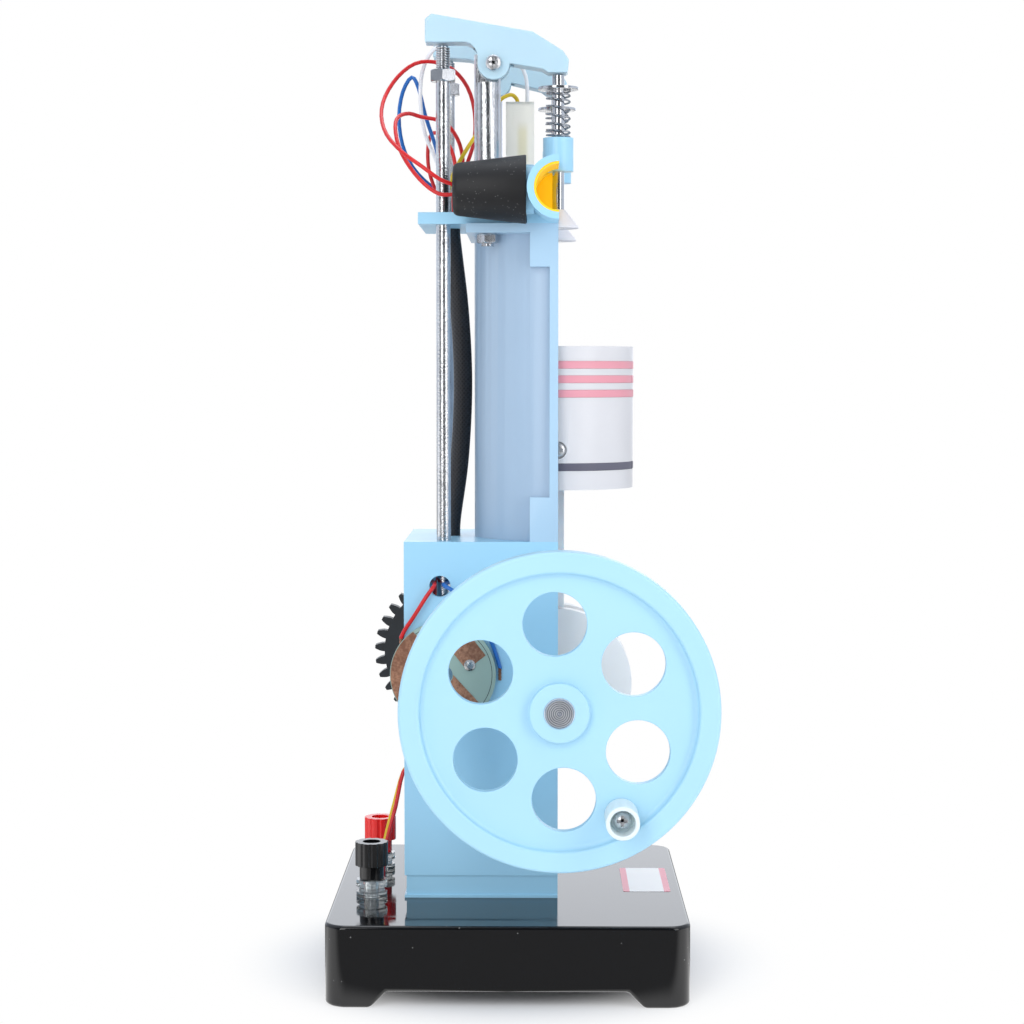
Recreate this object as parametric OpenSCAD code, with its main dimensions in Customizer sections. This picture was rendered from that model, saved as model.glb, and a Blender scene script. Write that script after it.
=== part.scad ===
// Hand-cranked cut-away model of a four-stroke engine on a black base.
// X points to the open front of the engine, Y from the flywheel to the gears, Z up.
// The origin lies on the table at the middle of the base.

/* [Base] */
// Length of the base from back to front
base_l = 146.5; // [136:0.5:170]
// Width of the base from the flywheel side to the gear side
base_w = 157; // [144:1:180]
// Height of the base
base_h = 33; // [26:1:45]
// Thickness of the base's side walls
base_wall = 3; // [2:0.5:5]
// Thickness of the base's top
base_top_t = 3; // [2:0.5:5]
// Radius of the upright corners
base_corner_r = 9; // [5:1:12]
// Length of each corner foot
foot_l = 18.5; // [14:0.5:22]
// Height of the gap between two feet
foot_gap_h = 6.5; // [3:0.5:9]

/* [Crankcase] */
// Distance of the cylinder's axis in front of the base's middle
engine_x = 20.5; // [16:0.5:24]
// Distance of the cylinder's axis from the base's middle, towards the gears
engine_y = 9; // [6:0.5:12]
// Depth of the crankcase from its back to its open front
case_l = 64; // [62:1:70]
// Width of the crankcase
case_w = 77; // [76:1:84]
// Height of the crankcase with its plinth
case_h = 149.5; // [146:0.5:160]
// Wall of the crankcase
case_wall = 3; // [2:0.5:4]
// Height of the plinth under the crankcase
plinth_h = 9.5; // [6:0.5:14]
// Set-back of the plinth from the crankcase's faces
plinth_inset = 0.8; // [0.2:0.1:1]
// Thickness of the flange at the plinth's foot
plinth_foot_t = 1.3; // [0.8:0.1:2]
// Thickness of the plinth's floor and walls
plinth_wall = 4; // [3:0.5:5]
// Radius of the bearing ears at the open front
ear_r = 12; // [11:0.5:15]
// Radius of the hole where the contact leads come out
lead_hole_r = 4.4; // [3.5:0.1:5]
// Height of that hole above the base
lead_hole_h = 131; // [126:1:134]
// Distance of that hole from the back of the crankcase
lead_hole_x = 15; // [12:0.5:18]

/* [Crank train] */
// Height of the crankshaft above the base
crank_h = 87.3; // [84:0.1:92]
// Crank radius, half the stroke
crank_r = 22; // [18:0.5:22]
// Length of the connecting rod between its bores
rod_l = 122; // [120:0.5:123]
// Thickness of the connecting rod at the big end
rod_t = 10; // [8:0.5:12]
// Gap between the rod and each crank web
web_gap = 1; // [0.5:0.1:1.5]
// Radius of the crank webs
web_r = 31.8; // [30:0.2:34]
// Thickness of the crank webs
web_t = 8; // [6:0.5:9]
// Diameter of the crankshaft
shaft_d = 12; // [8:0.5:13]
// Diameter of the crank pin
crank_pin_d = 10; // [8:0.5:11]
// Diameter of the dowels in the crank webs
dowel_d = 5; // [3:0.5:5]
// Diameter of the gudgeon pin
gudgeon_d = 6; // [5:0.5:7]
// Radius of the rod's big end
big_end_r = 9; // [8:0.5:10]
// Radius of the rod's small end
small_end_r = 6; // [5:0.5:6.5]
// Thickness of the rod's small end
small_end_t = 8; // [6:0.5:9]
// Width of the rod's shank
shank_w = 6; // [5:0.5:10]
// Thickness of the rod's shank
shank_t = 6; // [4:0.5:7]

/* [Gears] */
// Module of the gear teeth
gear_module = 2; // [1.9:0.02:2.04]
// Teeth on the crank gear
pinion_teeth = 16; // [16:1:16]
// Thickness of both gears
gear_t = 6; // [4:0.5:8]
// Extra centre distance that lets the teeth run free
gear_play = 0.25; // [0.15:0.05:0.4]
// Angle of the line from the crankshaft up to the camshaft
cam_angle = 171.5; // [169:0.5:174]
// Diameter of the camshaft
camshaft_d = 8; // [6:0.5:9]
// Base radius of the cams
cam_base_r = 10; // [8:0.5:11]
// Radius of a cam's nose
cam_nose_r = 5; // [4:0.5:6]
// Width of a cam
cam_t = 8; // [6:0.5:9]

/* [Flywheel] */
// Radius of the flywheel
fly_r = 63; // [58:0.5:66]
// Width of the flywheel's rim
fly_t = 12; // [9:0.5:15]
// Distance of the flywheel's front face from the cylinder's axis
fly_reach = 101; // [98:0.5:108]
// Radial width of the rim
rim_w = 8.5; // [4:0.5:9]
// Thickness of the flywheel's web
fly_web_t = 5; // [4:0.5:7]
// Radius of the flywheel's hub
hub_r = 11.8; // [11:0.2:15]
// Length of the hub
hub_l = 15; // [14:0.5:18]
// Radius of the six holes
fly_hole_r = 12.6; // [9:0.2:13]
// Radius of the circle that the holes lie on
fly_hole_circle_r = 34.5; // [33:0.5:36]
// Turn of the pattern of holes
fly_hole_turn = 33; // [28:1:38]
// Distance of the handle from the crankshaft
handle_circle_r = 47; // [45:0.5:49]
// Angle of the handle round the flywheel
handle_angle = -59; // [-62:1:-56]
// Radius of the handle
handle_r = 6.6; // [5.5:0.1:7.5]
// Length of the handle
handle_l = 18; // [16:0.5:30]
// Depth of the recess in the handle's end
handle_recess = 9.5; // [6:0.5:11]
// Diameter of the handle's screw
handle_screw_d = 5; // [4:0.5:6]

/* [Cylinder and piston] */
// Gap between the cylinder's shell and the inner faces of the crankcase's walls, seen from above
shell_inset = 0; // [0:0.1:0.4]
// Wall of the half cylinder
cyl_wall = 2.5; // [2:0.1:2.5]
// Height of the cylinder with its top flange
cyl_h = 131.4; // [131:0.2:140]
// Thickness of the top flange
top_flange_t = 3.8; // [3:0.2:5]
// Depth of the top flange behind the cut face
top_flange_l = 38; // [37:0.5:40]
// Thickness of the strips beside the bore at the cut face
strip_t = 3.5; // [2.5:0.5:5]
// Length of the lugs behind the strips
lug_l = 8.2; // [7:0.2:10]
// Height of the lower lugs
low_lug_h = 18.5; // [14:0.5:22]
// Height of the upper lugs
top_lug_h = 14; // [10:0.5:18]
// Radial gap between the piston and the bore
piston_gap = 0.5; // [0.4:0.05:0.8]
// Height of the piston
piston_h = 60; // [56:0.5:60]
// Height of the gudgeon pin above the piston's skirt
gudgeon_h = 16.7; // [15:0.1:20]
// Wall of the piston
piston_wall = 3; // [2.5:0.1:3.2]
// Thickness of the piston's crown
crown_t = 5; // [4:0.5:8]
// Radius of the bosses that hold the gudgeon screws
boss_r = 6.5; // [6:0.1:7]
// Height of a piston ring
ring_h = 3.2; // [2:0.1:3.6]
// Distance from one piston ring to the next
ring_pitch = 6; // [5:0.1:7]
// Distance of the top ring below the crown's face
ring_drop = 6.2; // [4:0.1:8]
// Height of the oil ring above the skirt
oil_ring_h = 11.2; // [6:0.1:11.5]
// Radial depth of the rings
ring_depth = 1.8; // [1.2:0.1:2]
// How far the rings stand out of the piston
ring_proud = 0.15; // [0.05:0.05:0.2]

/* [Head] */
// Thickness of the head plate
plate_t = 4.8; // [4:0.2:6]
// Distance of the head plate's back edge behind the cylinder's axis
plate_back = 58; // [55:0.5:62]
// Width of the head plate
plate_w = 68; // [68:0.5:72]
// Distance of each valve inside the crankcase's side face
valve_inset = 9.5; // [9.1:0.1:9.5]
// Outer radius of the two ports
port_r = 12.9; // [12:0.1:13.5]
// Wall of the ports
port_wall = 2.8; // [2:0.1:3.2]
// Distance of the ports' closed ends from the cylinder's axis
port_in = 14; // [13:0.5:15]
// Distance of the ports' open ends from the cylinder's axis
port_out = 64; // [63:0.5:65]
// Thickness of the coloured lining in the ports
liner_t = 0.8; // [0.5:0.1:1.2]
// Radius of the valve guides
guide_r = 6.3; // [5.5:0.1:7]
// Height of the valve guides above the ports' axis, at their lower end
guide_low = 8.8; // [8:0.1:9]
// Length of the valve guides
guide_l = 13.8; // [12:0.2:14]
// Distance of the lamp sockets from the cylinder's axis
lamp_offset = 49; // [49:0.5:50]
// Radius of the lamp sockets
socket_r = 10; // [8.5:0.1:10.2]
// Length of the lamp sockets behind the ports
socket_l = 10.5; // [8:0.5:12]
// Radius of the lamps
lamp_r = 5.5; // [4:0.1:6]
// Radius of the boots at the wide end
boot_r = 14; // [13:0.1:14.5]
// Radius of the boots at the narrow end
boot_end_r = 10.6; // [9.5:0.1:12]
// Length of the boots
boot_l = 29.8; // [27:0.2:30]
// Thickness of the boots' closed end
boot_end_t = 4; // [2:0.5:6]
// Width of the spark lamp's block
spark_w = 12; // [11:0.5:16]
// Height of the spark lamp's block
spark_h = 48.5; // [46:0.5:49]
// Distance of the block behind the cylinder's axis
spark_back = 16; // [14:0.5:17]
// Radius of the spark lamp
spark_lamp_r = 4; // [3:0.1:4.5]

/* [Valve train] */
// Height of the rockers' pivots above the head plate
pivot_h = 60.7; // [60.7:0.1:62]
// Distance of the pivots behind the cylinder's axis
pivot_back = 26.7; // [26.2:0.1:27]
// Distance of a post's axis behind its pivot
post_set_back = 2.6; // [1:0.1:2.8]
// Diameter of the rocker posts
post_d = 11; // [9.5:0.5:11]
// Thickness of a post's flat tongue
tongue_t = 6; // [4:0.5:7]
// Height of the tongue below the pivot
tongue_drop = 7.5; // [7.5:0.5:13]
// Diameter of the pivot screws
pivot_d = 4; // [3:0.5:4.5]
// Width of the rockers
rocker_w = 12; // [11:0.5:14]
// Diameter of the stud under each post
stud_d = 5; // [4:0.5:5]
// Height of the nuts on the posts' studs
post_nut_h = 4; // [3:0.5:5]
// Diameter of the push rods
pushrod_d = 6; // [5:0.5:6.5]
// Radius of the push rods' feet
tappet_r = 6; // [4.5:0.5:7]
// Thickness of the push rods' feet
tappet_t = 3; // [2:0.5:4]
// Height of the lock nuts on the push rods
lock_nut_h = 5; // [4:0.5:6]
// Distance of the lock nuts below the push rods' tops
lock_nut_drop = 10; // [8:0.5:20]
// Diameter of the valve stems
stem_d = 5; // [4:0.5:5.5]
// Radius of the valve heads
valve_head_r = 8.5; // [7.5:0.1:8.8]
// Height of the valve heads' cones
valve_cone_h = 7; // [6:0.1:7.6]
// Height of the rim below a cone
valve_rim_h = 0.8; // [0.4:0.1:1.2]
// How far a closed valve's face lies below the port's seat
valve_drop = 1.7; // [1.4:0.1:2]
// Lift of a valve that is open
valve_lift = 1.9; // [1.5:0.1:2]
// Radius of the spring retainers
retainer_r = 8.4; // [7.5:0.1:9]
// Thickness of the spring retainers
retainer_t = 1.2; // [1:0.1:2]
// Distance of the retainers below the stems' tops
retainer_drop = 5; // [4:0.1:6]
// Radius of a valve spring to the middle of its wire
spring_r = 4.8; // [4.6:0.1:6]
// Diameter of the spring wire
spring_wire = 0.8; // [0.8:0.1:1.1]
// Turns in a valve spring
spring_turns = 6; // [5:1:8]

/* [Contact disc and terminals] */
// Radius of the contact disc
disc_r = 22; // [20:0.5:24]
// Thickness of the contact disc
disc_t = 1.6; // [1:0.1:2.4]
// Thickness of the copper on the contact disc
copper_t = 0.3; // [0.2:0.05:0.5]
// Width of the smaller copper patch
copper_w = 10; // [8:0.5:11]
// Distance of the larger copper patch's straight edge past the camshaft's axis
copper_edge = 3.1; // [1:0.1:4]
// Distance of the terminals behind the base's middle
terminal_back = 57.5; // [56:0.5:60]
// Distance of each terminal from the base's middle line
terminal_offset = 26.5; // [22:0.5:34]
// Radius of the terminals
terminal_r = 6.5; // [5:0.5:7]
// Height of the clear collars
collar_h = 7.5; // [5:0.5:10]
// Height of the terminal knobs
knob_h = 15.5; // [13:0.5:20]
// Height of the plain neck under a knob's fluted cap
knob_neck_h = 5.5; // [4:0.5:7]
// Diameter of the terminal studs
terminal_stud_d = 4; // [3:0.5:5]

/* [Wiring] */
// Diameter of the insulated wires
wire_d = 1.7; // [1.4:0.1:1.8]
// Diameter of the black sleeve round the wires
sleeve_d = 8; // [7.8:0.1:8.4]
// Distance of the sleeve behind the cylinder's axis at its ends
sleeve_back = 45.5; // [45.5:0.1:45.8]

/* [Fits] */
// Radial gap of a pressed or glued fit
press_gap = 0.02; // [0.01:0.01:0.03]
// Radial gap of a shaft in its bearing
run_gap = 0.06; // [0.04:0.01:0.1]
// Gap between faces that pass each other
face_gap = 0.3; // [0.2:0.05:0.4]

/* [Hidden] */

$fn = 64;
// Overshoot of a cut past the face that it opens
eps = 1;
near = -1;
far = 1;

// Heights of the main levels
case_top = base_h + case_h;
case_low = base_h + plinth_h;
crank_z = base_h + crank_h;
cyl_top = case_top + cyl_h;
flange_low = cyl_top - top_flange_t;
plate_top = cyl_top + plate_t;
port_z = cyl_top + port_r;
guide_z = port_z + guide_low;
guide_top = guide_z + guide_l;
pivot_z = plate_top + pivot_h;

// Sizes across the engine that follow from the crankcase's width
shell_r = case_w / 2 - case_wall - shell_inset;
bore_r = shell_r - cyl_wall;
piston_r = bore_r - piston_gap;
valve_offset = case_w / 2 - valve_inset;

// Places in plan
case_back = engine_x - case_l;
pivot_x = engine_x - pivot_back;
post_x = pivot_x - post_set_back;
sleeve_x = engine_x - sleeve_back;
spark_x = engine_x - spark_back;
function side_y(side) = engine_y + side * valve_offset;
function lamp_y(side) = engine_y + side * lamp_offset;
function wall_y(side) = engine_y + side * case_w / 2;

// Gear train
cam_teeth = 2 * pinion_teeth;
gear_centres = gear_module * (pinion_teeth + cam_teeth) / 2 + gear_play;
cam_x = engine_x + gear_centres * cos(cam_angle);
cam_z = crank_z + gear_centres * sin(cam_angle);
bush_flange_t = 1.2;
bush_wall = 2;
gear_y = wall_y(far) + bush_flange_t + face_gap;

// Crank train at the bottom of the stroke
pin_z = crank_z - crank_r;
gudgeon_z = pin_z + rod_l;
piston_low = gudgeon_z - gudgeon_h;
web_in = rod_t / 2 + web_gap;
web_out = web_in + web_t;
fly_y = engine_y - fly_reach;

// Valve train: the levers turn the valve's lift into the rocker's angle and the rod's lift
valve_lever = pivot_back;
rod_lever = pivot_x - cam_x;
open_angle = asin(valve_lift / valve_lever);
rod_lift = rod_lever * open_angle * PI / 180;
tip_r = 4.2;
tip_rise = 0.4;
stem_top = pivot_z + tip_rise - tip_r - face_gap;
stem_low = cyl_top - valve_drop;
rocker_under = 8.7;
pushrod_top = pivot_z + rocker_under - 2 * face_gap;
tappet_z = cam_z + cam_base_r + rod_lift + 2 * face_gap;

// Wire ends on the top and the bottom of the sleeve
wire_circle_r = 2.6;
function sleeve_end(k, z) = [
    sleeve_x + wire_circle_r * cos(60 * k), engine_y + wire_circle_r * sin(60 * k), z
];
sleeve_low = case_top - case_wall;

// Routes of the wires, chosen by eye from the way they hang
boot_end_x = engine_x - port_r - face_gap - boot_l;
boot_wire_gap = 4;
// Heights above the head plate where the wires bend out of the sleeve
red_rise = 11.3;
blue_rise = 9.3;
yellow_rise = 8.3;
// The sleeve bows towards the cylinder's shell and stops short of it
sleeve_clearance = 1;
sleeve_bow = sleeve_back - sleeve_d / 2 - shell_r - sleeve_clearance;
sleeve_half_bow = 0.7 * sleeve_bow;
route_sleeve = [
    [sleeve_x, engine_y, plate_top], [sleeve_x, engine_y, plate_top - 8],
    [sleeve_x + sleeve_half_bow, engine_y, 280], [sleeve_x + sleeve_bow, engine_y, 248],
    [sleeve_x + sleeve_half_bow, engine_y, 216],
    [sleeve_x, engine_y, sleeve_low + 10], [sleeve_x, engine_y, sleeve_low]
];
route_red_small = [
    [boot_end_x, lamp_y(near), port_z - boot_wire_gap / 2], [-28, -40, 325], [-34, -39, 329], [-40, -36, 336],
    [-45, -29, 345], [-47, -21, 354], [-46, -14, 359], [-42, -8, 361], [-37, -4, 360], [-30, -1, 359],
    [-25, 1, 356], [-21, 3, 349], [-20, 6, 340], sleeve_end(5, plate_top + red_rise), sleeve_end(5, plate_top)
];
route_red_large = [
    [boot_end_x, lamp_y(near), port_z + boot_wire_gap / 2], [-28, -41, 331], [-35, -41, 336], [-43, -37, 342],
    [-50, -28, 350], [-53, -17, 359], [-52, -8, 368], [-47, -2, 377], [-40, 2, 383], [-32, 4, 384],
    [-24, 6, 381], [-18, 8, 374], [-15, 9, 364], [-15, 9, 352], [-18, 9, 342],
    sleeve_end(0, plate_top + red_rise), sleeve_end(0, plate_top)
];
route_red_far = [
    [boot_end_x, lamp_y(far), port_z - boot_wire_gap / 2], [-28, 56, 327], [-33, 50, 333], [-36, 42, 342],
    [-36, 34, 351], [-34, 26, 356], [-30, 20, 355], [-25, 15, 348], [-23, 13, 338],
    sleeve_end(1, plate_top + blue_rise), sleeve_end(1, plate_top)
];
route_blue = [
    [boot_end_x, lamp_y(far), port_z + boot_wire_gap / 2], [-28, 56, 332], [-36, 50, 336], [-43, 40, 343],
    [-47, 30, 352], [-48, 22, 363], [-46, 17, 373], [-42, 15, 379], [-39, 14, 374], [-36, 13, 362],
    [-32, 13, 350], [-29, 13, 338], sleeve_end(2, plate_top + blue_rise), sleeve_end(2, plate_top)
];
route_white = [
    sleeve_end(3, plate_top), sleeve_end(3, plate_top + blue_rise), [-31, 9, 342], [-36, 8, 354],
    [-38, 8, 368], [-37, 8, 381], [-32, 8, 390], [-22, 8, 394], [-10, 9, 393], [0, 9, 388], [6, 9, 381],
    [spark_x + 3, engine_y, 374], [spark_x + 3, engine_y, plate_top + spark_h]
];
route_yellow = [
    [spark_x - 1, engine_y, plate_top + spark_h], [spark_x - 1.6, engine_y, plate_top + spark_h + 2],
    [spark_x - 4, 8, plate_top + spark_h + 3.5], [-4, 6, plate_top + spark_h + 1], [-9, 3, 361], [-14, 0, 353],
    [-19, -2, 345], [-24, 1, 336], sleeve_end(4, plate_top + yellow_rise), sleeve_end(4, plate_top)
];
// Leads from the sleeve's foot to the terminals
lead_hole_z = base_h + lead_hole_h;
back_hole_h = 50;
back_hole_y = 6.5;
back_hole_r = 6;
route_lead_red = [
    sleeve_end(3, sleeve_low), sleeve_end(3, 172), [-32, 8, 160], [-36, 7, 120], [-38, 6, 95],
    [-41, 5, base_h + back_hole_h + 2], [-46, 4, base_h + back_hole_h - 3], [-49, 1, 66], [-53, -3, 50],
    [-54, -4, 40], [-54, -4, base_h]
];
route_lead_yellow = [
    sleeve_end(2, sleeve_low), sleeve_end(2, 172), [-31, 13, 160], [-35, 12, 120], [-37, 11, 95],
    [-41, 9, base_h + back_hole_h + 2], [-46, 8, base_h + back_hole_h - 3], [-50, 5, 66], [-54, 2, 50],
    [-55, 1, 40], [-55, 1, base_h]
];
// Leads from the sleeve's foot through the wall to the bare ends that serve the contact disc as brushes:
// each end's place beside the camshaft and its height above it
brush_ends = [[-17.5, 15], [23.6, 2.5]];
brush_l = 5;
brush_t = 0.8;
brush_w = 1.6;
function brush_top(k) = [
    cam_x + brush_ends[k][0], wall_y(near) - wire_d / 2 - face_gap, cam_z + brush_ends[k][1]
];
lead_out_y = wall_y(near) - 2.2;
route_brush_red = [
    sleeve_end(4, sleeve_low), sleeve_end(4, 173), [-29, 0, 169], [-33, -9, 167], [-33, -18, 166],
    [-31, -26, 165], [-31, lead_out_y, 164], [-34, lead_out_y - 1, 160], [-39, lead_out_y - 1, 152],
    [-43, lead_out_y + 0.6, 146], brush_top(0)
];
route_brush_blue = [
    sleeve_end(0, sleeve_low), sleeve_end(0, 173), [-20, 4, 169], [-20, -9, 167], [-20.5, -17, 166],
    [-24.5, -23.5, 165.3], [-26.6, -27, 164.8], [-26.6, lead_out_y, 164.5], [-21, lead_out_y - 1, 161],
    [-14, lead_out_y - 1, 153], [-9, lead_out_y, 145], [-6, lead_out_y + 0.8, 138],
    [-3.8, wall_y(near) - wire_d / 2 - face_gap, 131], brush_top(1)
];

// Outline of a rocker round its pivot, with the push rod's end on the left and a fillet under the long arm:
// reach to both sides, height of the back at its two bends, and the undercut before the valve's tip
rocker_tail = 28.2;
rocker_tail_top = 18.2;
rocker_peak = 20.3;
rocker_peak_back = 25.5;
rocker_bend = 16.2;
rocker_bend_top = 12.9;
rocker_front = 28.5;
rocker_front_top = 5.2;
rocker_nose = 31;
rocker_nose_top = 1.5;
rocker_nose_low = 30.6;
rocker_nose_under = 3.2;
rocker_tip_front = 29.6;
rocker_tip_back = 22.5;
rocker_undercut = 20;
rocker_undercut_drop = 2.2;
rocker_boss_r = 6.6;
rocker_fillet_r = 6;
rocker_outline = concat(
    [[-rocker_tail, rocker_under], [-rocker_tail, rocker_tail_top], [-rocker_peak_back, rocker_peak],
        [rocker_bend, rocker_bend_top], [rocker_front, rocker_front_top], [rocker_nose, rocker_nose_top],
        [rocker_nose_low, -rocker_nose_under], [rocker_tip_front, tip_rise - tip_r],
        [rocker_tip_back, tip_rise - tip_r], [rocker_undercut, -rocker_undercut_drop], [rocker_boss_r, 0],
        [-rocker_boss_r, 0]],
    [for (a = [0 : 15 : 90])
        [rocker_fillet_r * (cos(a) - 1) - rocker_boss_r, rocker_fillet_r * (sin(a) - 1) + rocker_under]]
);

function unit(v) = v / norm(v);

// Point at share t of the smooth curve between the points i and i + 1 of a route
function curve_point(p, i, t) =
    let (last = len(p) - 1)
    let (a = p[max(i - 1, 0)])
    let (b = p[i])
    let (c = p[i + 1])
    let (d = p[min(i + 2, last)])
    b + 0.5 * t * ((c - a) + t * ((2 * a - 5 * b + 4 * c - d) + t * (3 * b - a - 3 * c + d)));

function smooth_route(p, steps) = concat(
    [for (i = [0 : len(p) - 2]) for (k = [0 : steps - 1]) curve_point(p, i, k / steps)],
    [p[len(p) - 1]]
);

function direction(p, i) = unit(p[min(i + 1, len(p) - 1)] - p[max(i - 1, 0)]);

function square_to(v, along) = unit(v - (v * along) * along);

// Side directions along a route, each carried on from the one before without twisting
function side_directions(p, start) = [
    for (i = 0, v = square_to(start, direction(p, 0)); i < len(p);
        i = i + 1, v = square_to(v, direction(p, min(i, len(p) - 1)))) v
];

// Tube of radius r along the points of a route
module tube(p, r, sides, start) {
    rings = len(p);
    across = side_directions(p, start);
    points = [
        for (i = [0 : rings - 1])
            let (up = cross(direction(p, i), across[i]))
            for (k = [0 : sides - 1])
                p[i] + r * (cos(360 * k / sides) * across[i] + sin(360 * k / sides) * up)
    ];
    skin = [
        for (i = [0 : rings - 2]) for (k = [0 : sides - 1]) for (half = [0, 1])
            let (a = i * sides + k)
            let (b = i * sides + (k + 1) % sides)
            half == 0 ? [a, a + sides, b] : [b, a + sides, b + sides]
    ];
    first_cap = [for (k = [1 : sides - 2]) [0, k, k + 1]];
    end = (rings - 1) * sides;
    last_cap = [for (k = [1 : sides - 2]) [end, end + k + 1, end + k]];
    polyhedron(points, concat(skin, first_cap, last_cap));
}

wire_sides = 8;
wire_steps = 3;
module wire(route) {
    tube(smooth_route(route, wire_steps), wire_d / 2, wire_sides, [0.3, 1, 0.2]);
}

// Helix of a valve spring that fills a height, with its two end turns closer
spring_sides = 6;
turn_rings = 8;
spring_end_pitch = spring_wire + 0.6;
function spring_height(turn, h) =
    let (low = spring_wire / 2)
    let (middle_pitch = (h - spring_wire - 2 * spring_end_pitch) / (spring_turns - 2))
    turn < 1 ? low + turn * spring_end_pitch
    : turn > spring_turns - 1 ? h - low - (spring_turns - turn) * spring_end_pitch
    : low + spring_end_pitch + (turn - 1) * middle_pitch;
function spring_path(h) = [
    for (k = [0 : spring_turns * turn_rings])
        [spring_r * cos(360 * k / turn_rings), spring_r * sin(360 * k / turn_rings),
            spring_height(k / turn_rings, h)]
];
// Least gap between a spring's wire and the same wire a turn or more later
function spring_gap(h) =
    let (p = spring_path(h))
    min([
        for (i = [0 : len(p) - turn_rings]) for (k = [i + turn_rings - 1 : len(p) - 1]) norm(p[i] - p[k])
    ]) - spring_wire;

// Bodies along Y, from y0 over a length
module along_y(y0, l) {
    translate([0, y0 + l, 0]) rotate([90, 0, 0]) linear_extrude(l) children();
}
module rod_y(x, z, y0, l, r) {
    translate([x, y0 + l, z]) rotate([90, 0, 0]) cylinder(r = r, h = l);
}
// The same, from the cylinder's axis outwards to one side
module rod_side(side, x, z, from, to, r) {
    rod_y(x, z, engine_y + (side > 0 ? from : -to), to - from, r);
}
// Body along X, from x0 over a length, with a radius at each end
module rod_x(x0, y, z, l, r1, r2) {
    translate([x0, y, z]) rotate([0, 90, 0]) cylinder(r1 = r1, r2 = r2, h = l);
}
module rod_z(x, y, z0, l, r) {
    translate([x, y, z0]) cylinder(r = r, h = l);
}
module block(x0, x1, y0, y1, z0, z1) {
    translate([x0, y0, z0]) cube([x1 - x0, y1 - y0, z1 - z0]);
}
module hex_nut(h, flats, bore_d) {
    difference() {
        cylinder(d = flats / cos(30), h = h, $fn = 6);
        translate([0, 0, -eps]) cylinder(r = bore_d / 2 + press_gap, h = h + 2 * eps);
    }
}
// Space in front of the cut face
module front_space() {
    block(engine_x, engine_x + base_l, -base_w, base_w, 0, 2 * plate_top);
}

// Screws that hold the plinth down
plinth_screw_d = 4;
plinth_screw_in = 12;
screw_head_h = 2.5;
module at_plinth_screws() {
    for (x = [case_back + plinth_screw_in, engine_x - plinth_screw_in])
        for (side = [near, far])
            translate([x, wall_y(side) - side * plinth_screw_in, 0]) children();
}
module at_terminals() {
    for (side = [near, far]) translate([-terminal_back, side * terminal_offset, 0]) children();
}

module rounded_box(l, w, h, r) {
    block(-l / 2 + r, l / 2 - r, -w / 2, w / 2, 0, h);
    block(-l / 2, l / 2, -w / 2 + r, w / 2 - r, 0, h);
    for (x = [-1, 1]) for (y = [-1, 1]) rod_z(x * (l / 2 - r), y * (w / 2 - r), 0, h, r);
}
module foot_gap(l, w) {
    half = l / 2 - foot_l;
    along_y(-w / 2 - eps, w + 2 * eps)
        polygon([[-half, 0], [half, 0], [half - foot_gap_h, foot_gap_h], [foot_gap_h - half, foot_gap_h]]);
}
base_wire_hole_r = 5;
module base() {
    color("#131316") difference() {
        rounded_box(base_l, base_w, base_h, base_corner_r);
        block(base_wall - base_l / 2, base_l / 2 - base_wall, foot_l - base_w / 2, base_w / 2 - foot_l,
            -eps, base_h - base_top_t);
        block(foot_l - base_l / 2, base_l / 2 - foot_l, base_wall - base_w / 2, base_w / 2 - base_wall,
            -eps, base_h - base_top_t);
        foot_gap(base_l, base_w);
        rotate(90) foot_gap(base_w, base_l);
        at_plinth_screws() rod_z(0, 0, 0, base_h + eps, plinth_screw_d / 2 + press_gap);
        at_terminals() rod_z(0, 0, 0, base_h + eps, terminal_stud_d / 2 + press_gap);
    }
}
module base_screws() {
    color("silver") at_plinth_screws() {
        rod_z(0, 0, base_h - base_top_t - screw_head_h, screw_head_h, plinth_screw_d);
        rod_z(0, 0, base_h - base_top_t - eps / 2, base_top_t + eps / 2 + plinth_wall, plinth_screw_d / 2);
    }
}
module case_plinth() {
    low = wall_y(near) + plinth_inset;
    high = wall_y(far) - plinth_inset;
    color("#a9def6") difference() {
        union() {
            block(case_back + plinth_inset, engine_x, low, high, base_h, case_low);
            block(case_back, engine_x, wall_y(near), wall_y(far), base_h, base_h + plinth_foot_t);
        }
        block(case_back + plinth_inset + plinth_wall, engine_x - plinth_wall, low + plinth_wall,
            high - plinth_wall, base_h + plinth_wall, case_low + eps);
        at_plinth_screws() rod_z(0, 0, base_h - eps, plinth_wall + 2 * eps, plinth_screw_d / 2 + press_gap);
    }
}

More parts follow.
